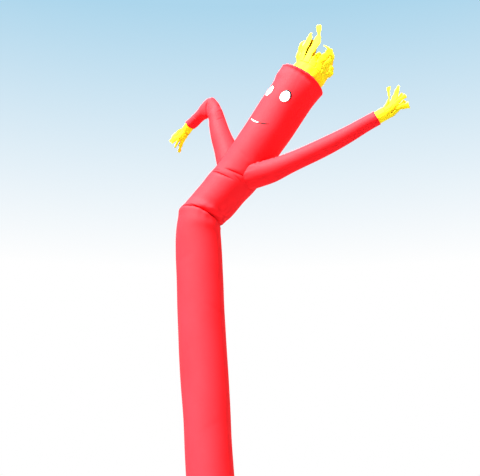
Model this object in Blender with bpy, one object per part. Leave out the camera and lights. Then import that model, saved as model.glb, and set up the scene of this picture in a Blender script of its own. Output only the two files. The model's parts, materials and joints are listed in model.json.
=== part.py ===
# Inflatable air dancer: a red nylon tube with a kinked waist, two sleeves, a plain smiling face
# and yellow fringes for hair and hands. Metres, +Z up, the viewer looks along +Y.
import math

import bpy
import numpy as np
from mathutils import Vector
from mathutils.bvhtree import BVHTree

# Main sizes
TUBE_RADIUS = 0.2285
DRAWN_IN = 0.92
CLOTH = 0.002
PATCH_CLOTH = 0.001
HEM_CLOTH = 0.003
HEM_HEIGHT = 0.050
SEAM_GAP = 0.0012
SEAM_LEAST_GAP = 0.0006
SEAM_STEP = 0.001
PATCH_GAP = 0.0006

# Where the tables' frame sits in the part's frame
SHIFT_X = -0.411
SHIFT_Y = 0.055

# Mesh density
BODY_SIDES = 36
ARM_SIDES = 22
ARM_ROOT_RINGS = 4

# Body sections from the foot to the head's top edge. x, y and z are the section's centre,
# half is its half width across the bend, tilt is how far it leans to the right and
# rings is the number of mesh rings up to the next section. A section that is pressed narrower
# one way bulges the other way, and one drawn in below DRAWN_IN of the radius is round.
BODY_COLUMNS = ("name", "x", "y", "z", "half", "tilt", "rings")
BODY_SECTIONS = [
    ("hem", -0.125, -0.020, 0.000, 0.2285, 0.0, 3),
    ("leg_low", -0.174, -0.012, 0.600, 0.2270, -2.5, 3),
    ("leg_hidden", -0.233, -0.004, 1.200, 0.2230, -3.2, 2),
    ("leg_a", -0.275, 0.000, 1.640, 0.2203, -3.0, 2),
    ("leg_b", -0.316, 0.000, 2.274, 0.2242, -2.6, 2),
    ("leg_c", -0.340, 0.000, 2.583, 0.2292, -1.8, 2),
    ("leg_d", -0.370, 0.000, 3.044, 0.2286, -1.0, 2),
    ("leg_e", -0.393, 0.000, 3.516, 0.2282, 1.2, 2),
    ("leg_f", -0.405, 0.000, 3.754, 0.2288, 2.6, 2),
    ("waist_low", -0.411, 0.000, 3.893, 0.2260, 4.0, 2),
    ("waist_dome", -0.410, 0.000, 3.994, 0.2225, 10.2, 2),
    ("kink_under", -0.402, 0.000, 4.067, 0.2205, 17.8, 4),
    ("kink", -0.387, 0.000, 4.122, 0.2180, 24.1, 4),
    ("kink_over", -0.352, 0.000, 4.171, 0.2171, 26.6, 2),
    ("kink_b", -0.294, -0.002, 4.231, 0.2238, 27.8, 2),
    ("kink_c", -0.247, -0.012, 4.284, 0.2227, 32.3, 1),
    ("belly", -0.203, -0.020, 4.335, 0.2208, 35.5, 2),
    ("chest_a", -0.140, -0.033, 4.414, 0.2237, 35.6, 3),
    ("chest_b", -0.071, -0.046, 4.488, 0.2273, 35.6, 8),
    ("neck", 0.221, -0.111, 4.903, 0.2290, 35.7, 3),
    ("face_low", 0.336, -0.138, 5.072, 0.2335, 35.8, 2),
    ("face_high", 0.391, -0.152, 5.159, 0.2345, 35.9, 4),
    ("brow", 0.564, -0.193, 5.416, 0.2390, 36.0, 2),
    ("crown", 0.604, -0.202, 5.475, 0.2455, 36.0, 2),
    ("shoulder", 0.627, -0.206, 5.512, 0.2500, 36.0, 2),
    ("shoulder_top", 0.642, -0.208, 5.529, 0.2390, 36.0, 1),
    ("top_edge", 0.649, -0.208, 5.534, 0.2030, 36.0, 0),
]

# Folds of the body cloth. at is the height along the tube, turn is the azimuth of the fold's
# middle (0 faces the viewer, 90 the viewer's right), span is half its length in degrees,
# depth goes inwards, width is half its breadth and slant is its climb for each radian.
FOLD_COLUMNS = ("name", "section", "above", "turn", "span", "depth", "width", "slant")
BODY_FOLDS = [
    ("kink_front", "kink", 0.016, 58, 84, 0.034, 0.015, -0.008),
    ("kink_back", "kink", 0.018, 132, 74, 0.032, 0.018, 0.012),
    ("kink_left", "kink", 0.018, -28, 56, 0.011, 0.013, 0.024),
    ("over_kink", "kink", 0.075, 30, 56, -0.008, 0.032, 0.000),
    ("dome_front", "waist_dome", 0.030, 20, 70, -0.008, 0.060, 0.010),
    ("hip_left", "kink", 0.050, -98, 34, 0.010, 0.026, -0.030),
    ("chest_front_a", "chest_b", -0.037, -28, 44, 0.011, 0.016, 0.022),
    ("chest_front_b", "chest_b", 0.055, 3, 33, 0.011, 0.015, 0.048),
    ("chest_front_c", "chest_b", 0.244, -5, 18, 0.004, 0.016, -0.090),
    ("chest_back", "chest_b", 0.060, 165, 48, 0.010, 0.026, 0.040),
    ("arm_pull_back", "chest_b", 0.250, 160, 30, 0.008, 0.028, -0.040),
    ("shin_dent", "leg_b", 0.050, 150, 46, 0.006, 0.110, 0.050),
    ("thigh_dent", "leg_e", -0.080, -140, 50, 0.006, 0.120, -0.060),
    ("calf_wave", "leg_low", 0.300, -60, 60, 0.005, 0.140, 0.040),
]

# Sleeve sections, with the same columns and deep for the half depth towards the viewer
ARM_COLUMNS = ("name", "x", "y", "z", "half", "deep", "tilt", "rings")
ARM_RIGHT_SECTIONS = [
    ("inside", 0.000, -0.090, 4.493, 0.1348, 0.135, 71.1, 1),
    ("root", 0.149, -0.175, 4.507, 0.1320, 0.132, 70.4, 1),
    ("free", 0.306, -0.235, 4.530, 0.1180, 0.119, 68.8, 1),
    ("upper", 0.452, -0.285, 4.576, 0.1015, 0.104, 67.2, 4),
    ("middle", 0.798, -0.405, 4.700, 0.0900, 0.090, 66.4, 3),
    ("lower", 1.025, -0.490, 4.794, 0.0811, 0.081, 64.9, 3),
    ("wrist", 1.248, -0.580, 4.899, 0.0700, 0.072, 65.4, 1),
    ("cuff_edge", 1.317, -0.605, 4.930, 0.0684, 0.069, 65.6, 0),
]
ARM_LEFT_SECTIONS = [
    ("inside", -0.060, -0.030, 4.531, 0.1317, 0.132, -17.0, 1),
    ("root", -0.107, 0.020, 4.723, 0.1300, 0.130, -17.1, 1),
    ("free", -0.153, 0.075, 4.905, 0.1193, 0.119, -18.2, 1),
    ("upper", -0.191, 0.105, 5.021, 0.1085, 0.108, -19.6, 3),
    ("middle", -0.233, 0.155, 5.198, 0.0935, 0.088, -19.7, 3),
    ("above_elbow", -0.262, 0.190, 5.332, 0.0876, 0.081, -34.0, 2),
    ("elbow_in", -0.288, 0.205, 5.389, 0.1050, 0.058, -63.1, 3),
    ("elbow", -0.323, 0.220, 5.427, 0.1190, 0.047, -82.0, 3),
    ("elbow_out", -0.357, 0.240, 5.410, 0.1005, 0.052, -93.5, 2),
    ("elbow_end", -0.382, 0.260, 5.391, 0.0832, 0.058, -104.4, 2),
    ("below_elbow", -0.400, 0.280, 5.377, 0.0692, 0.062, -116.5, 1),
    ("forearm", -0.422, 0.300, 5.365, 0.0615, 0.065, -128.0, 2),
    ("forearm_mid", -0.462, 0.335, 5.343, 0.0596, 0.063, -133.0, 2),
    ("wrist", -0.513, 0.380, 5.310, 0.0612, 0.062, -133.5, 1),
    ("cuff_edge", -0.537, 0.400, 5.300, 0.0601, 0.060, -132.3, 0),
]
ARM_RIGHT_FOLDS = [
    ("armpit_pucker", "root", 0.120, -60, 44, 0.008, 0.014, 0.010),
    ("under_pucker", "free", 0.030, 70, 44, 0.006, 0.016, -0.010),
    ("back_dent", "middle", 0.050, 170, 50, 0.005, 0.060, 0.010),
    ("front_dent", "upper", 0.150, 10, 40, 0.004, 0.050, 0.020),
]
ARM_LEFT_FOLDS = [
    ("elbow_front", "elbow", 0.004, 38, 76, 0.018, 0.012, 0.000),
    ("elbow_back", "elbow", 0.004, 142, 70, 0.014, 0.012, 0.000),
    ("elbow_side", "above_elbow", 0.020, 70, 40, 0.006, 0.018, 0.010),
    ("forearm_dent", "forearm", 0.030, 20, 50, 0.004, 0.022, 0.010),
]

# Fringes. Each strip grows from one column of a collar. Positions are metres along the tube
# that it ends, across it (viewer's right on the head) and towards the viewer.
STRIP_COLUMNS = ("mid_up", "mid_across", "mid_front", "tip_up", "tip_across", "tip_front",
                 "mid_width", "tip_width", "twist")
COLLAR_COLUMNS = ("radius", "shift", "below", "above", "sides")
HAIR_COLLAR = (0.1800, 0.015, 0.060, 0.095, 16)
HAIR_STRIPS = [
    (0.310, -0.076, -0.130, 0.425, -0.106, -0.120, 0.078, 0.054, 20),
    (0.306, -0.151, -0.120, 0.467, -0.189, -0.080, 0.075, 0.046, -25),
    (0.261, -0.187, -0.070, 0.383, -0.199, -0.030, 0.073, 0.049, 15),
    (0.201, -0.194, -0.010, 0.314, -0.236, 0.010, 0.068, 0.035, -10),
    (0.211, -0.213, 0.040, 0.374, -0.238, 0.020, 0.060, 0.030, 18),
    (0.267, -0.167, 0.090, 0.454, -0.211, 0.060, 0.078, 0.041, -15),
    (0.342, -0.132, 0.100, 0.589, -0.203, 0.050, 0.068, 0.068, 25),
    (0.311, -0.089, 0.130, 0.443, -0.090, 0.120, 0.078, 0.068, 8),
    (0.164, 0.014, 0.180, 0.268, 0.025, 0.180, 0.057, 0.041, -22),
    (0.309, 0.071, 0.140, 0.373, -0.005, 0.140, 0.065, 0.019, 18),
    (0.281, 0.111, 0.120, 0.423, 0.068, 0.080, 0.073, 0.059, -12),
    (0.272, 0.159, 0.080, 0.399, 0.124, 0.040, 0.068, 0.054, 15),
    (0.209, 0.191, 0.020, 0.296, 0.184, 0.050, 0.068, 0.059, -22),
    (0.181, 0.168, -0.050, 0.207, 0.210, -0.010, 0.068, 0.049, 12),
    (0.337, 0.029, -0.100, 0.419, 0.030, -0.050, 0.075, 0.046, -20),
    (0.321, -0.020, -0.130, 0.369, 0.032, -0.100, 0.078, 0.049, 15),
]
HAND_RIGHT_COLLAR = (0.0620, 0.000, 0.030, 0.090, 8)
HAND_RIGHT_STRIPS = [
    (0.196, -0.090, -0.045, 0.286, -0.146, -0.060, 0.050, 0.027, 18),
    (0.178, -0.073, -0.030, 0.265, -0.140, -0.040, 0.045, 0.025, -12),
    (0.181, -0.103, 0.010, 0.226, -0.215, 0.000, 0.030, 0.058, 21),
    (0.229, -0.077, 0.050, 0.306, -0.153, 0.045, 0.058, 0.025, -18),
    (0.237, -0.040, 0.060, 0.324, -0.073, 0.060, 0.057, 0.043, 15),
    (0.216, 0.040, 0.050, 0.318, 0.050, 0.050, 0.050, 0.058, -6),
    (0.186, 0.030, 0.020, 0.323, -0.024, 0.010, 0.053, 0.037, 24),
    (0.190, -0.054, -0.030, 0.293, -0.096, -0.060, 0.050, 0.033, -21),
]
HAND_LEFT_COLLAR = (0.0520, 0.000, 0.022, 0.080, 8)
HAND_LEFT_STRIPS = [
    (0.186, 0.004, -0.045, 0.288, -0.064, -0.050, 0.044, 0.027, 15),
    (0.156, -0.025, -0.030, 0.352, -0.036, -0.050, 0.044, 0.027, -18),
    (0.153, -0.046, 0.020, 0.299, -0.104, 0.030, 0.047, 0.035, 15),
    (0.171, -0.023, 0.045, 0.295, -0.034, 0.060, 0.047, 0.030, -21),
    (0.152, 0.005, 0.050, 0.265, 0.025, 0.050, 0.055, 0.043, 9),
    (0.181, 0.055, 0.020, 0.315, 0.071, 0.020, 0.055, 0.049, -9),
    (0.188, 0.056, -0.030, 0.314, 0.071, -0.030, 0.052, 0.035, 18),
    (0.197, 0.032, -0.050, 0.332, 0.013, -0.060, 0.047, 0.030, -12),
]

# Face patches on the body. up is metres above the face_high section, turn is the azimuth,
# tall and wide are half sizes in metres.
FACE_SECTION = "face_high"
EYE_COLUMNS = ("name", "up", "turn", "tall", "wide")
EYES = [
    ("eye_right", 0.142, -1.5, 0.063, 0.052),
    ("eye_left", 0.130, -54.5, 0.063, 0.052),
]
EYE_RIM_EDGE = 0.004
EYE_RIM_SHIFT_UP = 0.003
EYE_RIM_SHIFT_TURN = 0.9
MOUTH_UP = -0.190
MOUTH_TURN = -29.0
MOUTH_HALF_LENGTH = 0.121
MOUTH_SAG = 0.036
MOUTH_RISE = 0.013
MOUTH_LINE_HALF_HEIGHT = 0.0075
MOUTH_WHITE_HALF_HEIGHT = 0.0085
MOUTH_WHITE_LIFT = 0.004
MOUTH_WHITE_FROM = -0.78
MOUTH_WHITE_TO = 0.20
MOUTH_STEPS = 14


def clear_scene():
    for item in list(bpy.data.objects):
        bpy.data.objects.remove(item, do_unlink=True)


def column(rows, columns, name):
    return np.array([row[columns.index(name)] for row in rows], float)


def unit(vector):
    return vector / max(np.linalg.norm(vector), 1e-12)


class Tube:
    """A cloth tube through a table of sections, with folds pressed into it."""

    def __init__(self, sections, columns, folds):
        self.names = [row[0] for row in sections]
        self.centre = np.stack([column(sections, columns, k) for k in "xyz"], axis=1)
        self.half = column(sections, columns, "half")
        if "deep" in columns:
            self.deep = column(sections, columns, "deep")
        else:
            self.deep = 2.0 * TUBE_RADIUS - self.half
            drawn_in = self.half < DRAWN_IN * TUBE_RADIUS
            self.deep[drawn_in] = self.half[drawn_in]
        self.tilt = np.radians(column(sections, columns, "tilt"))
        self.rings = column(sections, columns, "rings").astype(int)
        steps = np.linalg.norm(np.diff(self.centre, axis=0), axis=1)
        self.station = np.concatenate([[0.0], np.cumsum(steps)])
        self.values = np.column_stack([self.centre, self.half, self.deep, self.tilt])
        self.slopes = self.find_slopes()
        self.folds = [dict(zip(FOLD_COLUMNS, row)) for row in folds]
        for fold in self.folds:
            fold["at"] = self.station[self.names.index(fold["section"])] + fold["above"]

    def find_slopes(self):
        s = self.station[:, None]
        v = self.values
        slopes = np.zeros_like(v)
        before = (v[1:-1] - v[:-2]) / (s[1:-1] - s[:-2])
        after = (v[2:] - v[1:-1]) / (s[2:] - s[1:-1])
        left = s[1:-1] - s[:-2]
        right = s[2:] - s[1:-1]
        slopes[1:-1] = (before * right + after * left) / (left + right)
        slopes[0] = (v[1] - v[0]) / (s[1] - s[0])
        slopes[-1] = (v[-1] - v[-2]) / (s[-1] - s[-2])
        return slopes

    def section(self, at):
        s = self.station
        i = int(np.clip(np.searchsorted(s, at) - 1, 0, len(s) - 2))
        gap = s[i + 1] - s[i]
        t = np.clip((at - s[i]) / gap, 0.0, 1.0)
        h00 = 2 * t**3 - 3 * t**2 + 1
        h10 = t**3 - 2 * t**2 + t
        h01 = -2 * t**3 + 3 * t**2
        h11 = t**3 - t**2
        first = h00 * self.values[i] + h10 * gap * self.slopes[i]
        return first + h01 * self.values[i + 1] + h11 * gap * self.slopes[i + 1]

    def heading(self, at):
        s = self.station
        i = int(np.clip(np.searchsorted(s, at) - 1, 0, len(s) - 2))
        t = np.clip((at - s[i]) / (s[i + 1] - s[i]), 0.0, 1.0)
        return unit((1 - t) * unit(self.slopes[i, :3]) + t * unit(self.slopes[i + 1, :3]))

    def frame(self, at):
        row = self.section(at)
        centre = row[:3] + np.array([SHIFT_X, SHIFT_Y, 0.0])
        across = np.array([math.cos(row[5]), 0.0, -math.sin(row[5])])
        front = unit(np.cross(across, self.heading(at)))
        up = np.cross(front, across)
        return centre, across, front, up, row[3], row[4]

    def press(self, at, turn):
        depth = 0.0
        for fold in self.folds:
            away = (turn - math.radians(fold["turn"]) + math.pi) % (2 * math.pi) - math.pi
            reach = abs(away) / math.radians(fold["span"])
            if reach >= 1.0:
                continue
            along = (at - fold["at"] - fold["slant"] * away) / fold["width"]
            depth += fold["depth"] * math.exp(-along * along) * (1 - reach * reach) ** 2 * (1 + reach * reach)
        return depth

    def point(self, at, turn):
        centre, across, front, up, half, deep = self.frame(at)
        out = across * math.sin(turn) * half + front * math.cos(turn) * deep
        return centre + out - unit(out) * self.press(at, turn)

    def normal(self, at, turn):
        step = 0.004
        spin = 0.02
        low = max(self.station[0], at - step)
        high = min(self.station[-1], at + step)
        lengthwise = self.point(high, turn) - self.point(low, turn)
        around = self.point(at, turn + spin) - self.point(at, turn - spin)
        return unit(np.cross(around, lengthwise))

    def stations(self):
        found = []
        for i in range(len(self.station) - 1):
            count = self.rings[i]
            for k in range(count):
                found.append(self.station[i] + (self.station[i + 1] - self.station[i]) * k / count)
        found.append(self.station[-1])
        return found


def make_material(name, colour, roughness, transmission=0.0):
    material = bpy.data.materials.new(name)
    material.use_nodes = True
    shader = material.node_tree.nodes["Principled BSDF"]
    shader.inputs["Base Color"].default_value = (*colour, 1.0)
    shader.inputs["Roughness"].default_value = roughness
    shader.inputs["Transmission Weight"].default_value = transmission
    material.diffuse_color = (*colour, 1.0)
    return material


def add_object(name, points, faces, material, smooth=True):
    mesh = bpy.data.meshes.new(name)
    mesh.from_pydata([tuple(p) for p in points], [], faces)
    mesh.update()
    mesh.materials.append(material)
    item = bpy.data.objects.new(name, mesh)
    bpy.context.scene.collection.objects.link(item)
    mesh.polygons.foreach_set("use_smooth", [smooth] * len(mesh.polygons))
    return item


def shell_faces(rings, sides):
    """Quads of an outer and an inner grid of rings, joined at both rims."""
    faces = []
    inner = rings * sides
    for i in range(rings - 1):
        for j in range(sides):
            k = (j + 1) % sides
            a, b = i * sides + j, i * sides + k
            c, d = (i + 1) * sides + k, (i + 1) * sides + j
            faces.append((a, b, c, d))
            faces.append((inner + d, inner + c, inner + b, inner + a))
    last = (rings - 1) * sides
    for j in range(sides):
        k = (j + 1) % sides
        faces.append((k, j, inner + j, inner + k))
        faces.append((last + j, last + k, inner + last + k, inner + last + j))
    return faces


def build_body(tube, material):
    hem_rings = [0.0, HEM_HEIGHT - 0.001, HEM_HEIGHT + 0.003]
    rings = hem_rings + [s for s in tube.stations() if s > HEM_HEIGHT + 0.02]
    outer = []
    inner = []
    for i, at in enumerate(rings):
        thick = HEM_CLOTH if i < 2 else CLOTH
        spare = thick - CLOTH
        for j in range(BODY_SIDES):
            turn = 2 * math.pi * j / BODY_SIDES
            point = tube.point(at, turn)
            normal = tube.normal(at, turn)
            if i == 0:
                normal = unit(normal * np.array([1.0, 1.0, 0.0]))
                point[2] = 0.0
            outer.append(point + normal * spare)
            inner.append(point - normal * CLOTH)
    points = outer + inner
    return add_object("body_tube", points, shell_faces(len(rings), BODY_SIDES), material)


def clearance(tree, point):
    location, normal, index, distance = tree.find_nearest(Vector(point))
    side = (Vector(point) - location).dot(normal)
    return distance if side > 0 else -distance


def wall_point(tube, at, turn, inward):
    return tube.point(at, turn) - tube.normal(at, turn) * inward


def root_station(tube, tree, turn, inward):
    """The station nearest the hand end at which this line of cloth meets the body."""
    high = tube.station[tube.names.index("upper")]
    low = high
    while low > 0.0 and clearance(tree, wall_point(tube, low, turn, inward)) > SEAM_GAP:
        high = low
        low -= 0.01
    low = max(low, 0.0)
    for _ in range(24):
        middle = 0.5 * (low + high)
        if clearance(tree, wall_point(tube, middle, turn, inward)) > SEAM_GAP:
            high = middle
        else:
            low = middle
    return high


def settle_roots(tube, tree, turns, roots, inward):
    """Moves the seam outwards until the straight edges between its points clear the body too."""
    count = len(turns)
    for _ in range(80):
        moved = False
        ring = [wall_point(tube, root, turn, inward) for turn, root in zip(turns, roots)]
        for j in range(count):
            k = (j + 1) % count
            spans = [ring[j] + (ring[k] - ring[j]) * part for part in (0.25, 0.5, 0.75)]
            if min(clearance(tree, point) for point in spans) < SEAM_LEAST_GAP:
                roots[j] += SEAM_STEP
                roots[k] += SEAM_STEP
                moved = True
        if not moved:
            break
    return roots


def build_arm(name, tube, body, material):
    outer_count = len(body.data.vertices) // 2
    tree = BVHTree.FromPolygons(
        [v.co.copy() for v in body.data.vertices],
        [tuple(p.vertices) for p in body.data.polygons if max(p.vertices) < outer_count],
    )
    turns = [2 * math.pi * j / ARM_SIDES for j in range(ARM_SIDES)]
    walls = []
    start = tube.station[tube.names.index("upper")]
    free = [s for s in tube.stations() if s >= start - 1e-9]
    for inward in (0.0, CLOTH):
        roots = [root_station(tube, tree, turn, inward) for turn in turns]
        roots = settle_roots(tube, tree, turns, roots, inward)
        wall = []
        for k in range(ARM_ROOT_RINGS):
            part = k / ARM_ROOT_RINGS
            for turn, root in zip(turns, roots):
                wall.append(wall_point(tube, root + (start - root) * part, turn, inward))
        for at in free:
            wall += [wall_point(tube, at, turn, inward) for turn in turns]
        walls += wall
    rings = ARM_ROOT_RINGS + len(free)
    return add_object(name, walls, shell_faces(rings, ARM_SIDES), material)


def curve_point(root, middle, tip, t):
    return (1 - t) ** 2 * root + 2 * t * (1 - t) * middle + t * t * tip


def build_fringe(name, tube, collar, strips, material, steps):
    """A collar of doubled cloth and strips that continue its columns, one closed mesh."""
    size = dict(zip(COLLAR_COLUMNS, collar))
    sides = size["sides"]
    centre, across, front, up, half, deep = tube.frame(tube.station[-1])
    centre = centre + across * size["shift"]
    points = []
    faces = []

    def place(along, sideways, forward):
        return centre + up * along + across * sideways + front * forward

    def add(point):
        points.append(point)
        return len(points) - 1

    heights = [-size["below"], 0.0, 0.5 * size["above"], size["above"]]
    grid = {}
    for wall, inward in (("out", 0.0), ("in", CLOTH)):
        for i, along in enumerate(heights):
            for j in range(sides):
                turn = 2 * math.pi * j / sides - math.pi
                radius = size["radius"] - inward
                grid[wall, i, j] = add(place(along, radius * math.sin(turn), radius * math.cos(turn)))
    top = len(heights) - 1
    for i in range(top):
        for j in range(sides):
            k = (j + 1) % sides
            faces.append((grid["out", i, j], grid["out", i, k], grid["out", i + 1, k], grid["out", i + 1, j]))
            faces.append((grid["in", i + 1, j], grid["in", i + 1, k], grid["in", i, k], grid["in", i, j]))
    for j in range(sides):
        k = (j + 1) % sides
        faces.append((grid["out", 0, k], grid["out", 0, j], grid["in", 0, j], grid["in", 0, k]))
    for j, row in enumerate(strips):
        strip = dict(zip(STRIP_COLUMNS, row))
        k = (j + 1) % sides
        ring = [grid["out", top, j], grid["out", top, k], grid["in", top, k], grid["in", top, j]]
        corners = [points[n] for n in ring]
        root = sum(corners) / 4
        width = np.linalg.norm(corners[1] - corners[0])
        side = unit(corners[1] - corners[0])
        thick = unit(corners[0] - corners[3])
        middle = place(strip["mid_up"], strip["mid_across"], strip["mid_front"])
        tip = place(strip["tip_up"], strip["tip_across"], strip["tip_front"])
        bend = 2 * middle - 0.5 * (root + tip)
        for step in range(1, steps + 1):
            t = step / steps
            here = curve_point(root, bend, tip, t)
            ahead = unit(curve_point(root, bend, tip, min(1, t + 0.02)) - curve_point(root, bend, tip, t - 0.02))
            side = unit(side - ahead * np.dot(side, ahead))
            thick = np.cross(side, ahead) * (1 if np.dot(np.cross(side, ahead), thick) > 0 else -1)
            angle = math.radians(strip["twist"]) * t
            turned_side = side * math.cos(angle) + thick * math.sin(angle)
            turned_thick = thick * math.cos(angle) - side * math.sin(angle)
            near = width + (strip["mid_width"] - width) * min(1, 2 * t)
            wide = near + (strip["tip_width"] - strip["mid_width"]) * max(0, 2 * t - 1)
            fresh = [
                add(here - turned_side * wide / 2 + turned_thick * CLOTH / 2),
                add(here + turned_side * wide / 2 + turned_thick * CLOTH / 2),
                add(here + turned_side * wide / 2 - turned_thick * CLOTH / 2),
                add(here - turned_side * wide / 2 - turned_thick * CLOTH / 2),
            ]
            for a in range(4):
                b = (a + 1) % 4
                faces.append((ring[a], ring[b], fresh[b], fresh[a]))
            ring = fresh
        faces.append(tuple(ring))
    return add_object(name, points, faces, material, smooth=False)


def patch_object(name, tube, outline, lift, material, loops):
    """A thin cloth patch that follows the tube; outline gives (up, turn) for each loop scale."""
    points = []
    faces = []
    count = len(outline(1.0))
    base = tube.station[tube.names.index(FACE_SECTION)]
    layers = []
    for height in (lift + PATCH_CLOTH, lift):
        rows = []
        for loop in range(loops, 0, -1):
            row = []
            for up, turn in outline(loop / loops):
                at = base + up
                points.append(tube.point(at, turn) + tube.normal(at, turn) * height)
                row.append(len(points) - 1)
            rows.append(row)
        up, turn = outline(0.0)[0]
        points.append(tube.point(base + up, turn) + tube.normal(base + up, turn) * height)
        layers.append((rows, len(points) - 1))
    for (rows, hub), flip in zip(layers, (False, True)):
        for i in range(loops - 1):
            for j in range(count):
                k = (j + 1) % count
                quad = (rows[i][j], rows[i][k], rows[i + 1][k], rows[i + 1][j])
                faces.append(quad[::-1] if flip else quad)
        for j in range(count):
            k = (j + 1) % count
            corner = (rows[-1][j], rows[-1][k], hub)
            faces.append(corner[::-1] if flip else corner)
    top = layers[0][0][0]
    low = layers[1][0][0]
    for j in range(count):
        k = (j + 1) % count
        faces.append((top[k], top[j], low[j], low[k]))
    return add_object(name, points, faces, material)


def oval(up, turn, tall, wide, count=24):
    def outline(scale):
        found = []
        for j in range(count):
            angle = 2 * math.pi * j / count
            sideways = math.cos(angle) * wide * scale / TUBE_RADIUS
            found.append((up + math.sin(angle) * tall * scale, turn + sideways))
        return found
    return outline


def smile_object(name, tube, material, first, last, half_height, rise, lift):
    """A shallow crescent of cloth: sagging at its middle and narrow at both ends."""
    base = tube.station[tube.names.index(FACE_SECTION)]
    points = []
    faces = []
    rows = []
    for step in range(MOUTH_STEPS + 1):
        local = 2 * step / MOUTH_STEPS - 1
        t = first + (last - first) * step / MOUTH_STEPS
        turn = math.radians(MOUTH_TURN) + t * MOUTH_HALF_LENGTH / TUBE_RADIUS
        middle = base + MOUTH_UP + MOUTH_RISE * t - MOUTH_SAG * (1 - t * t) + rise
        half = half_height * (0.15 + 0.85 * (1 - local * local) ** 0.5)
        row = []
        for height in (lift + PATCH_CLOTH, lift):
            for side in (-1, 1):
                at = middle + side * half
                points.append(tube.point(at, turn) + tube.normal(at, turn) * height)
                row.append(len(points) - 1)
        rows.append((row[0], row[1], row[3], row[2]))
    for left, right in zip(rows, rows[1:]):
        for a in range(4):
            b = (a + 1) % 4
            faces.append((left[a], right[a], right[b], left[b]))
    faces.append(rows[0])
    faces.append(rows[-1][::-1])
    return add_object(name, points, faces, material, smooth=False)


def build_face(tube, black, white):
    for row in EYES:
        eye = dict(zip(EYE_COLUMNS, row))
        turn = math.radians(eye["turn"])
        rim_turn = turn + math.radians(EYE_RIM_SHIFT_TURN)
        rim = oval(eye["up"] + EYE_RIM_SHIFT_UP, rim_turn, eye["tall"] + EYE_RIM_EDGE, eye["wide"] + EYE_RIM_EDGE)
        patch_object(eye["name"] + "_rim", tube, rim, PATCH_GAP, black, 3)
        inner = oval(eye["up"], turn, eye["tall"], eye["wide"])
        patch_object(eye["name"] + "_white", tube, inner, 2 * PATCH_GAP + PATCH_CLOTH, white, 3)
    smile_object("mouth_line", tube, black, -1.0, 1.0, MOUTH_LINE_HALF_HEIGHT, 0.0, PATCH_GAP)
    smile_object(
        "mouth_white", tube, white, MOUTH_WHITE_FROM, MOUTH_WHITE_TO,
        MOUTH_WHITE_HALF_HEIGHT, MOUTH_WHITE_LIFT, 2 * PATCH_GAP + PATCH_CLOTH,
    )


clear_scene()
RED_NYLON = make_material("red_nylon", (0.90, 0.012, 0.020), 0.45)
YELLOW_NYLON = make_material("yellow_nylon", (0.95, 0.86, 0.03), 0.45)
BLACK_CLOTH = make_material("black_cloth", (0.015, 0.015, 0.018), 0.60)
WHITE_CLOTH = make_material("white_cloth", (0.92, 0.92, 0.92), 0.60)

BODY = Tube(BODY_SECTIONS, BODY_COLUMNS, BODY_FOLDS)
ARM_RIGHT = Tube(ARM_RIGHT_SECTIONS, ARM_COLUMNS, ARM_RIGHT_FOLDS)
ARM_LEFT = Tube(ARM_LEFT_SECTIONS, ARM_COLUMNS, ARM_LEFT_FOLDS)

body_object = build_body(BODY, RED_NYLON)
build_arm("arm_right", ARM_RIGHT, body_object, RED_NYLON)
build_arm("arm_left", ARM_LEFT, body_object, RED_NYLON)
build_fringe("hair", BODY, HAIR_COLLAR, HAIR_STRIPS, YELLOW_NYLON, 5)
build_fringe("hand_right", ARM_RIGHT, HAND_RIGHT_COLLAR, HAND_RIGHT_STRIPS, YELLOW_NYLON, 4)
build_fringe("hand_left", ARM_LEFT, HAND_LEFT_COLLAR, HAND_LEFT_STRIPS, YELLOW_NYLON, 4)
build_face(BODY, BLACK_CLOTH, WHITE_CLOTH)
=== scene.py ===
import json
import math

import bpy
import numpy as np
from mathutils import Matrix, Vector
from mathutils.bvhtree import BVHTree

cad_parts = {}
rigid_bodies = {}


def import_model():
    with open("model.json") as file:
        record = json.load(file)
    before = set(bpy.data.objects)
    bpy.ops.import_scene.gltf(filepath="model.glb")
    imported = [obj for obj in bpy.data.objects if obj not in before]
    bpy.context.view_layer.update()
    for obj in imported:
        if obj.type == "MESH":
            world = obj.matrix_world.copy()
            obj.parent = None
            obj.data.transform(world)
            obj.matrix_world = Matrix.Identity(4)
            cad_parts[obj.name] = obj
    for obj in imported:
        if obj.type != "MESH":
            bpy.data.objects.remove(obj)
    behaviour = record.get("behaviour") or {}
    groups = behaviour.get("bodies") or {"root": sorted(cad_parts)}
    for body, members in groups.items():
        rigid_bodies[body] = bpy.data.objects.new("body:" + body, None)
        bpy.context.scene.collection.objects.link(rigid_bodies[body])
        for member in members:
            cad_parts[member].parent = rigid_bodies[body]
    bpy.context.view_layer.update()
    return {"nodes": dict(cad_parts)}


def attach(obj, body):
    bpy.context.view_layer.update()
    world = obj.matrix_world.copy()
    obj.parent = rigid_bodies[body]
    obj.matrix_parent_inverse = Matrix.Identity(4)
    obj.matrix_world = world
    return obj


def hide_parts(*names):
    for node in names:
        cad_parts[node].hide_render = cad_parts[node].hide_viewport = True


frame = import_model()
scene = bpy.context.scene
print("frame loaded with", len(frame["nodes"]), "nodes")

# Camera and studio, first because the photo's angle decides the rest
studio = {
    "eye": (-0.411, -8.245, 1.45),   # the camera, in metres
    "climb": 16.5,                   # degrees that it looks up
    "lens": 65.475,
    "sky": (0.415, 0.672, 0.842),    # straight ahead and up, fading to white near the ground
    "fadeFrom": 0.25,
    "fadeTo": 0.52,
    "ambient": (0.97, 0.95, 0.97),
    "sunStrength": 38.0,
    "sunTurn": -45.0,                # degrees to the left of the camera
    "sunClimb": 55.0,
    "sunSize": 16.0,
    "backPower": 60.0,
    "backSize": 4.0,
    "backPlace": (1.5, 7.0, 6.5),
    "backAim": (-0.2, 0.0, 4.0),
    "floorSize": 14.0,
    "floorColour": (0.10, 0.10, 0.105),
}


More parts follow.
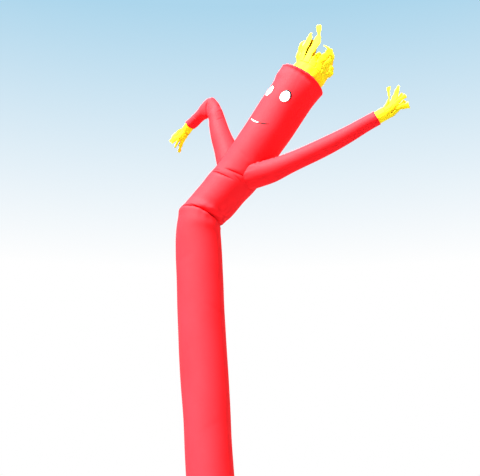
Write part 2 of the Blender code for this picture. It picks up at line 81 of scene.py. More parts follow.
def addCamera():
    data = bpy.data.cameras.new("camera")
    data.lens = studio["lens"]
    data.sensor_width = 36.0
    camera = bpy.data.objects.new("camera", data)
    camera.location = studio["eye"]
    camera.rotation_euler = (math.radians(90.0 + studio["climb"]), 0.0, 0.0)
    scene.collection.objects.link(camera)
    scene.camera = camera


def addSun():
    data = bpy.data.lights.new("softSun", "SUN")
    data.energy = studio["sunStrength"]
    data.angle = math.radians(studio["sunSize"])
    light = bpy.data.objects.new("softSun", data)
    turn = math.radians(studio["sunTurn"])
    climb = math.radians(studio["sunClimb"])
    towards = Vector((
        math.sin(turn) * math.cos(climb), -math.cos(turn) * math.cos(climb), math.sin(climb),
    ))
    light.rotation_euler = towards.to_track_quat("Z", "Y").to_euler()
    scene.collection.objects.link(light)


def addBackLight():
    data = bpy.data.lights.new("backLight", "AREA")
    data.shape = "DISK"
    data.size = studio["backSize"]
    data.energy = studio["backPower"]
    light = bpy.data.objects.new("backLight", data)
    light.location = studio["backPlace"]
    aim = Vector(studio["backAim"]) - light.location
    light.rotation_euler = aim.to_track_quat("-Z", "Y").to_euler()
    scene.collection.objects.link(light)


def addWorld():
    # the backdrop fades from white to pale blue, and the light that it gives is even
    world = bpy.data.worlds.new("studioSky")
    world.use_nodes = True
    scene.world = world
    nodes = world.node_tree.nodes
    links = world.node_tree.links
    coords = nodes.new("ShaderNodeTexCoord")
    split = nodes.new("ShaderNodeSeparateXYZ")
    fade = nodes.new("ShaderNodeMapRange")
    fade.inputs["From Min"].default_value = studio["fadeFrom"]
    fade.inputs["From Max"].default_value = studio["fadeTo"]
    seen = nodes.new("ShaderNodeMix")
    seen.data_type = "RGBA"
    seen.inputs[6].default_value = (1.0, 1.0, 1.0, 1.0)
    seen.inputs[7].default_value = (*studio["sky"], 1.0)
    links.new(coords.outputs["Generated"], split.inputs[0])
    links.new(split.outputs["Z"], fade.inputs["Value"])
    links.new(fade.outputs["Result"], seen.inputs[0])
    path = nodes.new("ShaderNodeLightPath")
    both = nodes.new("ShaderNodeMix")
    both.data_type = "RGBA"
    both.inputs[6].default_value = (*studio["ambient"], 1.0)
    links.new(path.outputs["Is Camera Ray"], both.inputs[0])
    links.new(seen.outputs[2], both.inputs[7])
    links.new(both.outputs[2], nodes["Background"].inputs["Color"])


def addFloor():
    half = studio["floorSize"] / 2
    corners = [(-half, -half, 0.0), (half, -half, 0.0), (half, half, 0.0), (-half, half, 0.0)]
    mesh = bpy.data.meshes.new("floor")
    mesh.from_pydata(corners, [], [(0, 1, 2, 3)])
    floor = bpy.data.objects.new("floor", mesh)
    scene.collection.objects.link(floor)
    material = bpy.data.materials.new("greyFloor")
    material.use_nodes = True
    shader = material.node_tree.nodes["Principled BSDF"]
    shader.inputs["Base Color"].default_value = (*studio["floorColour"], 1.0)
    shader.inputs["Roughness"].default_value = 0.8
    mesh.materials.append(material)


scene.view_settings.view_transform = "Standard"
addCamera()
addWorld()
addFloor()
addSun()
addBackLight()
print("studio ready")


# Cloth tubes: a table of sections, joined by smooth curves, with folds pressed in
tableShift = np.array([-0.411, 0.055, 0.0])  # the tables' frame in the part's frame
tubeRadius = 0.2285
drawnIn = 0.92  # a section under this share of the radius is round

# name, x, y, z, half width, tilt
bodySections = [
    ("hem", -0.125, -0.020, 0.000, 0.2285, 0.0),
    ("leg_low", -0.174, -0.012, 0.600, 0.2270, -2.5),
    ("leg_hidden", -0.233, -0.004, 1.200, 0.2230, -3.2),
    ("leg_a", -0.275, 0.000, 1.640, 0.2203, -3.0),
    ("leg_b", -0.316, 0.000, 2.274, 0.2242, -2.6),
    ("leg_c", -0.340, 0.000, 2.583, 0.2292, -1.8),
    ("leg_d", -0.370, 0.000, 3.044, 0.2286, -1.0),
    ("leg_e", -0.393, 0.000, 3.516, 0.2282, 1.2),
    ("leg_f", -0.405, 0.000, 3.754, 0.2288, 2.6),
    ("waist_low", -0.411, 0.000, 3.893, 0.2260, 4.0),
    ("waist_dome", -0.410, 0.000, 3.994, 0.2225, 10.2),
    ("kink_under", -0.402, 0.000, 4.067, 0.2205, 17.8),
    ("kink", -0.387, 0.000, 4.122, 0.2180, 24.1),
    ("kink_over", -0.352, 0.000, 4.171, 0.2171, 26.6),
    ("kink_b", -0.294, -0.002, 4.231, 0.2238, 27.8),
    ("kink_c", -0.247, -0.012, 4.284, 0.2227, 32.3),
    ("belly", -0.203, -0.020, 4.335, 0.2208, 35.5),
    ("chest_a", -0.140, -0.033, 4.414, 0.2237, 35.6),
    ("chest_b", -0.071, -0.046, 4.488, 0.2273, 35.6),
    ("neck", 0.221, -0.111, 4.903, 0.2290, 35.7),
    ("face_low", 0.336, -0.138, 5.072, 0.2335, 35.8),
    ("face_high", 0.391, -0.152, 5.159, 0.2345, 35.9),
    ("brow", 0.564, -0.193, 5.416, 0.2390, 36.0),
    ("crown", 0.604, -0.202, 5.475, 0.2455, 36.0),
    ("shoulder", 0.627, -0.206, 5.512, 0.2500, 36.0),
    ("shoulder_top", 0.642, -0.208, 5.529, 0.2390, 36.0),
    ("top_edge", 0.649, -0.208, 5.534, 0.2030, 36.0),
]
# name, x, y, z, half width, half depth, tilt
armRightSections = [
    ("inside", 0.000, -0.090, 4.493, 0.1348, 0.135, 71.1),
    ("root", 0.149, -0.175, 4.507, 0.1320, 0.132, 70.4),
    ("free", 0.306, -0.235, 4.530, 0.1180, 0.119, 68.8),
    ("upper", 0.452, -0.285, 4.576, 0.1015, 0.104, 67.2),
    ("middle", 0.798, -0.405, 4.700, 0.0900, 0.090, 66.4),
    ("lower", 1.025, -0.490, 4.794, 0.0811, 0.081, 64.9),
    ("wrist", 1.248, -0.580, 4.899, 0.0700, 0.072, 65.4),
    ("cuff_edge", 1.317, -0.605, 4.930, 0.0684, 0.069, 65.6),
]
armLeftSections = [
    ("inside", -0.060, -0.030, 4.531, 0.1317, 0.132, -17.0),
    ("root", -0.107, 0.020, 4.723, 0.1300, 0.130, -17.1),
    ("free", -0.153, 0.075, 4.905, 0.1193, 0.119, -18.2),
    ("upper", -0.191, 0.105, 5.021, 0.1085, 0.108, -19.6),
    ("middle", -0.233, 0.155, 5.198, 0.0935, 0.088, -19.7),
    ("above_elbow", -0.262, 0.190, 5.332, 0.0876, 0.081, -34.0),
    ("elbow_in", -0.288, 0.205, 5.389, 0.1050, 0.058, -63.1),
    ("elbow", -0.323, 0.220, 5.427, 0.1190, 0.047, -82.0),
    ("elbow_out", -0.357, 0.240, 5.410, 0.1005, 0.052, -93.5),
    ("elbow_end", -0.382, 0.260, 5.391, 0.0832, 0.058, -104.4),
    ("below_elbow", -0.400, 0.280, 5.377, 0.0692, 0.062, -116.5),
    ("forearm", -0.422, 0.300, 5.365, 0.0615, 0.065, -128.0),
    ("forearm_mid", -0.462, 0.335, 5.343, 0.0596, 0.063, -133.0),
    ("wrist", -0.513, 0.380, 5.310, 0.0612, 0.062, -133.5),
    ("cuff_edge", -0.537, 0.400, 5.300, 0.0601, 0.060, -132.3),
]
# section, metres above it, turn and half span in degrees, depth, half breadth, climb per radian
bodyFolds = [
    ("kink", 0.016, 58, 84, 0.034, 0.015, -0.008),
    ("kink", 0.018, 132, 74, 0.032, 0.018, 0.012),
    ("kink", 0.018, -28, 56, 0.011, 0.013, 0.024),
    ("kink", 0.075, 30, 56, -0.008, 0.032, 0.000),
    ("waist_dome", 0.030, 20, 70, -0.008, 0.060, 0.010),
    ("kink", 0.050, -98, 34, 0.010, 0.026, -0.030),
    ("chest_b", -0.037, -28, 44, 0.011, 0.016, 0.022),
    ("chest_b", 0.055, 3, 33, 0.011, 0.015, 0.048),
    ("chest_b", 0.244, -5, 18, 0.004, 0.016, -0.090),
    ("chest_b", 0.060, 165, 48, 0.010, 0.026, 0.040),
    ("chest_b", 0.250, 160, 30, 0.008, 0.028, -0.040),
    ("leg_b", 0.050, 150, 46, 0.006, 0.110, 0.050),
    ("leg_e", -0.080, -140, 50, 0.006, 0.120, -0.060),
    ("leg_low", 0.300, -60, 60, 0.005, 0.140, 0.040),
    ("kink", -0.016, -92, 70, -0.016, 0.036, 0.000),
    ("crown", -0.040, -88, 62, -0.013, 0.048, 0.000),
]
armRightFolds = [
    ("root", 0.120, -60, 44, 0.008, 0.014, 0.010),
    ("free", 0.030, 70, 44, 0.006, 0.016, -0.010),
    ("middle", 0.050, 170, 50, 0.005, 0.060, 0.010),
    ("upper", 0.150, 10, 40, 0.004, 0.050, 0.020),
    ("root", 0.010, -78, 60, -0.014, 0.050, 0.000),
]
armLeftFolds = [
    ("elbow", 0.004, 38, 76, 0.018, 0.012, 0.000),
    ("elbow", 0.004, 142, 70, 0.014, 0.012, 0.000),
    ("above_elbow", 0.020, 70, 40, 0.006, 0.018, 0.010),
    ("forearm", 0.030, 20, 50, 0.004, 0.022, 0.010),
]
# Finer creases that only the cloth shows, in the same columns; their bottoms also get painted shade
bodyCreases = [
    ("kink", 0.023, 10, 64, 0.012, 0.006, -0.008),
    ("kink", 0.018, -28, 56, 0.010, 0.006, 0.024),
    ("chest_b", -0.037, -28, 44, 0.010, 0.006, 0.022),
    ("chest_b", 0.055, 3, 33, 0.010, 0.006, 0.048),
    ("kink", 0.052, 100, 46, 0.007, 0.008, -0.030),
    ("kink", -0.030, 84, 40, 0.005, 0.008, 0.034),
    ("kink", 0.105, 74, 30, 0.004, 0.010, 0.060),
    ("kink", 0.090, 150, 34, 0.005, 0.010, -0.050),
    ("kink", -0.080, 124, 30, 0.004, 0.011, 0.050),
    ("chest_b", -0.018, -52, 20, 0.004, 0.008, 0.050),
    ("chest_b", 0.020, 14, 18, 0.004, 0.008, -0.050),
    ("chest_b", 0.130, 30, 22, 0.004, 0.010, 0.120),
    ("chest_b", 0.330, 46, 22, 0.003, 0.012, 0.100),
    ("chest_b", 0.180, 140, 26, 0.004, 0.010, 0.080),
    ("leg_e", 0.160, -36, 30, 0.002, 0.020, 0.090),
    ("leg_d", 0.120, 40, 26, 0.002, 0.022, -0.110),
    ("leg_b", -0.200, 10, 30, 0.002, 0.024, 0.100),
    ("leg_hidden", 0.100, 70, 36, 0.003, 0.024, 0.090),
    ("leg_low", -0.260, -20, 36, 0.003, 0.020, -0.090),
    ("leg_c", 0.100, 170, 40, 0.003, 0.024, 0.120),
]
armRightCreases = [
    ("root", 0.068, -66, 40, 0.018, 0.010, 0.020),
    ("free", 0.088, -72, 28, 0.008, 0.008, -0.016),
    ("upper", 0.035, -78, 26, 0.006, 0.008, 0.012),
    ("upper", 0.190, -76, 22, 0.003, 0.010, -0.014),
    ("lower", -0.050, -80, 26, 0.005, 0.008, 0.012),
    ("lower", 0.060, 60, 30, 0.003, 0.012, -0.010),
]
armLeftCreases = [
    ("elbow", 0.016, -30, 84, 0.012, 0.007, 0.000),
    ("elbow", -0.020, 60, 40, 0.005, 0.006, 0.010),
    ("elbow", 0.026, 30, 44, 0.005, 0.006, -0.010),
    ("elbow", 0.030, 150, 40, 0.004, 0.007, 0.010),
    ("above_elbow", -0.040, 40, 34, 0.003, 0.010, 0.014),
    ("middle", 0.000, 20, 30, 0.003, 0.012, 0.020),
    ("forearm", 0.040, 10, 40, 0.003, 0.008, 0.010),
]


def unit(vectors):
    return vectors / np.maximum(np.linalg.norm(vectors, axis=-1, keepdims=True), 1e-12)


def makeTube(rows, folds, creases):
    centre = np.array([row[1:4] for row in rows], float) + tableShift
    half = np.array([row[4] for row in rows], float)
    if len(rows[0]) == 7:
        deep = np.array([row[5] for row in rows], float)
    else:
        deep = np.where(half < drawnIn * tubeRadius, half, 2.0 * tubeRadius - half)
    tilt = np.radians([row[-1] for row in rows])
    station = np.concatenate([[0.0], np.cumsum(np.linalg.norm(np.diff(centre, axis=0), axis=1))])
    values = np.column_stack([centre, half, deep, tilt])
    rise = np.diff(values, axis=0) / np.diff(station)[:, None]
    gap = np.diff(station)[:, None]
    slopes = np.zeros_like(values)
    slopes[1:-1] = (rise[:-1] * gap[1:] + rise[1:] * gap[:-1]) / (gap[1:] + gap[:-1])
    slopes[0] = rise[0]
    slopes[-1] = rise[-1]
    at = dict(zip([row[0] for row in rows], station))
    tube = {"at": at, "station": station, "values": values, "slopes": slopes, "rules": []}
    tube["folds"] = [(at[row[0]] + row[1], *row[2:], False) for row in folds]
    tube["folds"] += [(at[row[0]] + row[1], *row[2:], True) for row in creases]
    return tube


def framesAt(tube, at):
    station, values, slopes = tube["station"], tube["values"], tube["slopes"]
    i = np.clip(np.searchsorted(station, at) - 1, 0, len(station) - 2)
    gap = (station[i + 1] - station[i])[:, None]
    t = np.clip((at - station[i])[:, None] / gap, 0.0, 1.0)
    row = (2 * t**3 - 3 * t**2 + 1) * values[i] + (t**3 - 2 * t**2 + t) * gap * slopes[i]
    row = row + (3 * t**2 - 2 * t**3) * values[i + 1] + (t**3 - t**2) * gap * slopes[i + 1]
    heading = unit((1 - t) * unit(slopes[i, :3]) + t * unit(slopes[i + 1, :3]))
    tilt = row[:, 5]
    across = np.column_stack([np.cos(tilt), np.zeros_like(tilt), -np.sin(tilt)])
    front = unit(np.cross(across, heading))
    return row[:, :3], across, front, np.cross(front, across), row[:, 3], row[:, 4]


def angleFrom(turn, degrees):
    return (turn - math.radians(degrees) + math.pi) % (2 * math.pi) - math.pi


def acrossFold(at, turn, place, middle, span, width, slant):
    # how far along a fold's line and how far beside it each point lies, in shares of its sizes
    away = angleFrom(turn, middle)
    reach = np.minimum(np.abs(away) / math.radians(span), 1.0)
    return reach, (at - place - slant * away) / width


def pressIn(tube, at, turn):
    depth = np.zeros_like(at)
    for place, middle, span, deep, width, slant, fine in tube["folds"]:
        reach, x = acrossFold(at, turn, place, middle, span, width, slant)
        profile = np.exp(-x * x)
        if fine:  # a sharp crease with a soft lip on both sides
            profile = np.exp(-2.0 * np.abs(x)) - 0.35 * np.exp(-2.0 * (np.abs(x) - 1.7) ** 2)
        depth += deep * profile * (1 - reach**2) ** 2 * (1 + reach**2)
    return depth


def shadeOf(tube, at, turn):
    # painted shade at the bottom of the sharp creases, from 0 to 1
    shade = np.zeros_like(at)
    for place, middle, span, deep, width, slant, fine in tube["folds"]:
        if fine:
            reach, x = acrossFold(at, turn, place, middle, span, width, slant)
            shade += min(deep / 0.010, 1.0) * np.exp(-x * x) * (1 - reach**2)
    return np.clip(shade, 0.0, 1.0)


def skin(tube, at, turn):
    centre, across, front, up, half, deep = framesAt(tube, at)
    out = across * (np.sin(turn) * half)[:, None] + front * (np.cos(turn) * deep)[:, None]
    raised = -pressIn(tube, at, turn)
    for rule in tube["rules"]:
        raised = raised + rule(at, turn, centre + out)
    return centre + out + unit(out) * raised[:, None]


def skinNormal(tube, at, turn):
    step, spin = 0.003, 0.012
    low = np.maximum(at - step, 0.0)
    high = np.minimum(at + step, tube["station"][-1])
    lengthwise = skin(tube, high, turn) - skin(tube, low, turn)
    around = skin(tube, at, turn + spin) - skin(tube, at, turn - spin)
    return unit(np.cross(around, lengthwise))


def smoothStep(x):
    x = np.clip(x, 0.0, 1.0)
    return x * x * (3 - 2 * x)


def swellRule(tube, amount, seed):  # slow uneven swell of air-filled cloth
    draw = np.random.default_rng(seed)
    waves = [
        (draw.integers(1, 5), draw.uniform(4.0, 16.0), draw.uniform(0, 6.28), draw.uniform(0.4, 1.0))
        for _ in range(9)
    ]

    def rule(at, turn, point):
        total = sum(w[3] * np.sin(w[0] * turn + w[1] * at + w[2]) for w in waves)
        return amount * total / 3.0
    return rule


def puckerRule(place, amount, reach, count, phase, middle=None, span=180.0):
    # small gathers beside a seam
    def rule(at, turn, point):
        wave = np.cos(count * turn + phase + 1.3 * np.sin(3 * turn + phase))
        fade = np.exp(-np.abs(at - place) / reach)
        if middle is not None:
            away = angleFrom(turn, middle)
            fade = fade * smoothStep(1.6 - np.abs(away) / math.radians(span))
        return amount * wave * fade
    return rule


def hemRule(low, high, amount):  # doubled cloth between two stations
    def rule(at, turn, point):
        return amount * smoothStep((at - low) / 0.003 + 0.5) * smoothStep((high - at) / 0.003 + 0.5)
    return rule


def seamRule(turnDegrees, width, amount, radius):  # a flat felled seam along the tube
    def rule(at, turn, point):
        away = angleFrom(turn, turnDegrees)
        return amount * smoothStep(1.5 - np.abs(away) * radius / (width / 2))
    return rule


def armholeRule(centre, axis, radius, amount, count):  # pulls that run out from a sleeve's seam
    side = unit(np.cross(axis, [0.0, 0.3, 1.0]))
    other = np.cross(axis, side)

    def rule(at, turn, point):
        away = point - centre
        along = away @ axis
        flat = away - along[:, None] * axis
        distance = np.linalg.norm(flat, axis=1) - radius
        angle = np.arctan2(flat @ side, flat @ other)
        wave = np.cos(count * angle + np.sin(2 * angle))
        fade = np.exp(-np.abs(distance) / 0.045) * smoothStep(along / 0.05 + 0.5)
        return amount * wave * fade
    return rule


def spaced(spans):
    found = [np.arange(low, high - 0.4 * step, step) for low, high, step in spans]
    return np.concatenate(found + [[spans[-1][1]]])


# Materials
def newMaterial(name):
    material = bpy.data.materials.new(name)
    material.use_nodes = True
    return material, material.node_tree.nodes, material.node_tree.links


def addNode(nodes, kind, **values):
    node = nodes.new(kind)
    for key, value in values.items():
        if hasattr(node, key):
            setattr(node, key, value)
        else:
            node.inputs[key.replace("_", " ")].default_value = value
    return node


# each fold colour is painted shade for the bottoms of the sharp creases
nylon = {
    "red": {
        "base": (0.95, 0.0125, 0.019), "deep": (0.93, 0.0095, 0.015), "through": (1.0, 0.012, 0.014),
        "fold": (0.50, 0.0, 0.005), "share": 0.20, "roughness": 0.72, "gloss": 0.10, "weave": 0.004,
    },
    "yellow": {
        "base": (0.96, 0.88, 0.012), "deep": (0.94, 0.70, 0.006), "through": (1.0, 0.82, 0.010),
        "fold": (0.55, 0.30, 0.01), "share": 0.18, "roughness": 0.72, "gloss": 0.10, "weave": 0.004,
    },
    # painted shade: a darker copy of the yellow nylon for the strips' inner sides, standing in for the shade
    # inside the fringe
    "insideShade": {
        "base": (0.42, 0.22, 0.002), "deep": (0.26, 0.12, 0.001), "through": (0.60, 0.30, 0.002),
        "fold": (0.08, 0.03, 0.002), "share": 0.06, "roughness": 0.75, "gloss": 0.04, "weave": 0.004,
    },
}


def nylonMaterial(name, look):
    # thin coated ripstop: two sets of raised threads, soft gloss, light that comes through, and painted shade in
    # the sharp creases
    material, nodes, links = newMaterial(name)
    shader = nodes["Principled BSDF"]
    coords = addNode(nodes, "ShaderNodeTexCoord")
    cloud = addNode(nodes, "ShaderNodeTexNoise", Scale=2.2, Detail=5.0, Roughness=0.55)
    links.new(coords.outputs["Object"], cloud.inputs["Vector"])
    tone = addNode(nodes, "ShaderNodeValToRGB")
    tone.color_ramp.elements[0].position = 0.30
    tone.color_ramp.elements[0].color = (*look["deep"], 1.0)
    tone.color_ramp.elements[1].position = 0.62
    tone.color_ramp.elements[1].color = (*look["base"], 1.0)
    links.new(cloud.outputs["Fac"], tone.inputs["Fac"])
    # painted shade: the colour darkens towards the fold colour along the sharp creases
    crease = addNode(nodes, "ShaderNodeAttribute", attribute_name="foldShade")
    paintedCreaseShade = addNode(nodes, "ShaderNodeMix", data_type="RGBA")
    links.new(crease.outputs["Fac"], paintedCreaseShade.inputs[0])
    links.new(tone.outputs["Color"], paintedCreaseShade.inputs[6])
    paintedCreaseShade.inputs[7].default_value = (*look["fold"], 1.0)
    links.new(paintedCreaseShade.outputs[2], shader.inputs["Base Color"])
    split = addNode(nodes, "ShaderNodeSeparateXYZ")
    links.new(coords.outputs["UV"], split.inputs[0])
    heights = []
    for axis in ("X", "Y"):
        scaled = addNode(nodes, "ShaderNodeMath", operation="MULTIPLY")
        scaled.inputs[1].default_value = 1.0 / look["weave"]
        links.new(split.outputs[axis], scaled.inputs[0])
        wave = addNode(nodes, "ShaderNodeMath", operation="PINGPONG")
        wave.inputs[1].default_value = 0.5
        links.new(scaled.outputs[0], wave.inputs[0])
        thread = addNode(nodes, "ShaderNodeMapRange")
        thread.inputs["From Min"].default_value = 0.40
        thread.inputs["From Max"].default_value = 0.50
        links.new(wave.outputs[0], thread.inputs["Value"])
        heights.append(thread.outputs["Result"])
    ripstop = addNode(nodes, "ShaderNodeMath", operation="MAXIMUM")
    links.new(heights[0], ripstop.inputs[0])
    links.new(heights[1], ripstop.inputs[1])
    crinkle = addNode(nodes, "ShaderNodeTexNoise", Scale=24.0, Detail=6.0, Roughness=0.6, Distortion=0.8)
    links.new(coords.outputs["Object"], crinkle.inputs["Vector"])
    softBump = addNode(nodes, "ShaderNodeBump", Strength=0.22, Distance=0.007)
    links.new(crinkle.outputs["Fac"], softBump.inputs["Height"])
    weaveBump = addNode(nodes, "ShaderNodeBump", Strength=0.25, Distance=0.0004)
    links.new(ripstop.outputs[0], weaveBump.inputs["Height"])
    links.new(softBump.outputs["Normal"], weaveBump.inputs["Normal"])
    links.new(weaveBump.outputs["Normal"], shader.inputs["Normal"])
    worn = addNode(nodes, "ShaderNodeMapRange")
    worn.inputs["To Min"].default_value = look["roughness"] - 0.05
    worn.inputs["To Max"].default_value = look["roughness"] + 0.06
    links.new(crinkle.outputs["Fac"], worn.inputs["Value"])
    links.new(worn.outputs["Result"], shader.inputs["Roughness"])
    shader.inputs["Specular IOR Level"].default_value = look["gloss"]
    through = addNode(nodes, "ShaderNodeBsdfTranslucent")
    through.inputs["Color"].default_value = (*look["through"], 1.0)
    mix = addNode(nodes, "ShaderNodeMixShader")
    mix.inputs[0].default_value = look["share"]
    links.new(shader.outputs[0], mix.inputs[1])
    links.new(through.outputs[0], mix.inputs[2])
    links.new(mix.outputs[0], nodes["Material Output"].inputs["Surface"])
    return material


patch = {
    "white": {"base": (0.84, 0.84, 0.84), "deep": (0.76, 0.76, 0.78), "roughness": 0.6},
    "black": {"base": (0.005, 0.004, 0.005), "deep": (0.003, 0.002, 0.003), "roughness": 0.75},
    "thread": {"base": (0.72, 0.004, 0.010), "deep": (0.5, 0.003, 0.006), "roughness": 0.55},
}


def patchMaterial(name, look):
    # plain woven patch cloth
    material, nodes, links = newMaterial(name)
    shader = nodes["Principled BSDF"]
    coords = addNode(nodes, "ShaderNodeTexCoord")
    cloud = addNode(nodes, "ShaderNodeTexNoise", Scale=40.0, Detail=4.0)
    links.new(coords.outputs["Object"], cloud.inputs["Vector"])
    tone = addNode(nodes, "ShaderNodeValToRGB")
    tone.color_ramp.elements[0].color = (*look["deep"], 1.0)
    tone.color_ramp.elements[1].position = 0.6
    tone.color_ramp.elements[1].color = (*look["base"], 1.0)
    links.new(cloud.outputs["Fac"], tone.inputs["Fac"])
    links.new(tone.outputs["Color"], shader.inputs["Base Color"])
    weave = addNode(nodes, "ShaderNodeTexChecker", Scale=900.0)
    links.new(coords.outputs["UV"], weave.inputs["Vector"])
    bump = addNode(nodes, "ShaderNodeBump", Strength=0.3, Distance=0.0003)
    links.new(weave.outputs["Fac"], bump.inputs["Height"])
    links.new(bump.outputs["Normal"], shader.inputs["Normal"])
    shader.inputs["Roughness"].default_value = look["roughness"]
    shader.inputs["Specular IOR Level"].default_value = 0.12
    return material


redNylon = nylonMaterial("redNylon", nylon["red"])
yellowNylon = nylonMaterial("yellowNylon", nylon["yellow"])
paintedShadeInside = nylonMaterial("paintedShadeInside", nylon["insideShade"])
whiteCloth = patchMaterial("whiteCloth", patch["white"])
blackCloth = patchMaterial("blackCloth", patch["black"])
redThread = patchMaterial("redThread", patch["thread"])
print("materials ready")


# Meshes
def addPiece(name, points, faces, uvs, materials, smooth=True):
    mesh = bpy.data.meshes.new(name)
    mesh.from_pydata(points, [], faces)
    mesh.update()
    if uvs is not None:
        layer = mesh.uv_layers.new(name="UVMap")
        layer.data.foreach_set("uv", np.asarray(uvs, np.float32).ravel())
    for material in materials:
        mesh.materials.append(material)
    mesh.polygons.foreach_set("use_smooth", [smooth] * len(mesh.polygons))
    piece = bpy.data.objects.new(name, mesh)
    scene.collection.objects.link(piece)
    return piece


def doubleWall(name, outer, inner, ats, turns, radius, materials, shade=None):
    # two grids of rings x sides, joined at both rims, with a map in metres
    rings, sides = outer.shape[:2]
    points = np.concatenate([outer.reshape(-1, 3), inner.reshape(-1, 3)])
    i, j = np.meshgrid(np.arange(rings - 1), np.arange(sides), indexing="ij")
    i, j = i.ravel(), j.ravel()
    k = (j + 1) % sides
    outside = np.column_stack([i * sides + j, i * sides + k, (i + 1) * sides + k, (i + 1) * sides + j])
    inside = outside[:, ::-1] + rings * sides
    j0 = np.arange(sides)
    k0 = (j0 + 1) % sides
    base = rings * sides
    top = (rings - 1) * sides
    lowRim = np.column_stack([k0, j0, base + j0, base + k0])
    highRim = np.column_stack([top + j0, top + k0, base + top + k0, base + top + j0])
    faces = np.concatenate([outside, inside, lowRim, highRim])
    around = np.append(turns, turns[0] + 2 * math.pi) * radius
    u0, u1 = around[j], around[j + 1]
    v0, v1 = ats[i], ats[i + 1]
    quad = np.stack([
        np.column_stack([u0, v0]), np.column_stack([u1, v0]),
        np.column_stack([u1, v1]), np.column_stack([u0, v1]),
    ], axis=1)
    rimA, rimB = around[j0], around[j0 + 1]

    def rimMap(v, first, second):
        level = np.full(sides, v)
        return np.stack([
            np.column_stack([first, level]), np.column_stack([second, level]),
            np.column_stack([second, level]), np.column_stack([first, level]),
        ], axis=1)
    uvs = np.concatenate([
        quad, quad[:, ::-1],
        rimMap(ats[0], rimB, rimA),
        rimMap(ats[-1], rimA, rimB),
    ])
    piece = addPiece(name, points.tolist(), faces.tolist(), uvs.reshape(-1, 2), materials)
    # the creases' painted shade, on the outer wall only
    layer = piece.data.attributes.new("foldShade", "FLOAT", "POINT")
    if shade is not None:
        layer.data.foreach_set("value", np.concatenate([shade.ravel(), 0.0 * shade.ravel()]).astype(np.float32))
    return piece


# Body
body = {
    "sides": 96, "thick": 0.0012, "hemHigh": 0.050, "hemThick": 0.0010, "topHem": 0.022,
    "seamTurn": 180.0, "seamWide": 0.014, "seamThick": 0.0012, "swell": 0.0012,
}
bodyTube = makeTube(bodySections, bodyFolds, bodyCreases)
armRightTube = makeTube(armRightSections, armRightFolds, armRightCreases)
armLeftTube = makeTube(armLeftSections, armLeftFolds, armLeftCreases)
bodyEnd = bodyTube["station"][-1]
kinkAt = bodyTube["at"]["kink"]
chestAt = bodyTube["at"]["chest_b"]


def armholeOf(tube):
    row = framesAt(tube, np.array([tube["at"]["root"]]))
    return row[0][0], unit(np.cross(row[1][0], -row[2][0])), float(row[4][0])


bodyTube["rules"] = [
    swellRule(bodyTube, body["swell"], 4),
    hemRule(-1.0, body["hemHigh"], body["hemThick"]),
    hemRule(bodyEnd - body["topHem"], bodyEnd + 1.0, 0.0008),
    seamRule(body["seamTurn"], body["seamWide"], body["seamThick"], tubeRadius),
    puckerRule(body["hemHigh"], 0.0018, 0.060, 17, 0.4),
    puckerRule(bodyEnd - body["topHem"], 0.0016, 0.050, 21, 1.1),
    puckerRule(kinkAt + 0.018, 0.0060, 0.055, 15, 0.7, 82.0, 72.0),
    armholeRule(*armholeOf(armRightTube), 0.0022, 13),
    armholeRule(*armholeOf(armLeftTube), 0.0020, 11),
]


def buildBody():
    even = np.arange(body["sides"]) * 2 * math.pi / body["sides"]
    seam = math.radians(body["seamTurn"])
    edge = body["seamWide"] / 2 / tubeRadius
    extra = seam + np.array([-1.6, -1.0, -0.6, 0.6, 1.0, 1.6]) * edge
    turns = np.unique(np.round(np.concatenate([even, extra]), 6))
    ats = spaced([
        (0.0, 0.046, 0.0115), (0.046, 0.054, 0.002), (0.054, 0.30, 0.016), (0.30, 3.86, 0.030),
        (3.86, kinkAt - 0.13, 0.014), (kinkAt - 0.13, kinkAt - 0.02, 0.008),
        (kinkAt - 0.02, kinkAt + 0.06, 0.004), (kinkAt + 0.06, kinkAt + 0.19, 0.008),
        (kinkAt + 0.19, chestAt - 0.07, 0.012),
        (chestAt - 0.07, chestAt + 0.09, 0.0042),
        (chestAt + 0.09, chestAt + 0.34, 0.0085), (chestAt + 0.34, bodyEnd - 0.11, 0.016),
        (bodyEnd - 0.11, bodyEnd - 0.025, 0.0085), (bodyEnd - 0.025, bodyEnd - 0.019, 0.002),
        (bodyEnd - 0.019, bodyEnd, 0.0047),
    ])
    at, turn = [grid.ravel() for grid in np.meshgrid(ats, turns, indexing="ij")]
    outer = skin(bodyTube, at, turn)
    normal = skinNormal(bodyTube, at, turn)
    first = at == 0.0
    outer[first, 2] = 0.0
    normal[first, 2] = 0.0
    normal = unit(normal)
    doubled = body["hemThick"] * ((at < body["hemHigh"]) | (at > bodyEnd - body["topHem"]))
    inner = outer - normal * (body["thick"] + doubled)[:, None]
    shape = (len(ats), len(turns), 3)
    piece = doubleWall(
        "bodyCloth", outer.reshape(shape), inner.reshape(shape), ats, turns, tubeRadius, [redNylon],
        shadeOf(bodyTube, at, turn),
    )
    return piece, outer.reshape(shape), (len(ats), len(turns))


bodyPiece, bodyOuter, bodyShape = buildBody()
print("body:", len(bodyPiece.data.polygons), "faces")


# Sleeves
sleeve = {
    "sides": 80, "thick": 0.0012, "rootRings": 30, "rootBunch": 1.35, "gap": 0.0007,
    "cuffHem": 0.016, "cuffThick": 0.0008, "seamTurnRight": 150.0, "seamTurnLeft": 180.0,
    "gathers": 11, "gatherHigh": 0.0024, "gatherFrom": 0.010, "gatherReach": 0.055, "ringStep": 0.0065,
}


def bodyTree():
    rings, sides = bodyShape
    points = [Vector(p) for p in bodyOuter.reshape(-1, 3)]
    faces = []
    for i in range(rings - 1):
        for j in range(sides):
            k = (j + 1) % sides
            faces.append((i * sides + j, i * sides + k, (i + 1) * sides + k, (i + 1) * sides + j))
    return BVHTree.FromPolygons(points, faces)


tree = bodyTree()


def outsideBy(point):
    place, normal, index, distance = tree.find_nearest(Vector(point))
    return distance if (Vector(point) - place).dot(normal) > 0 else -distance


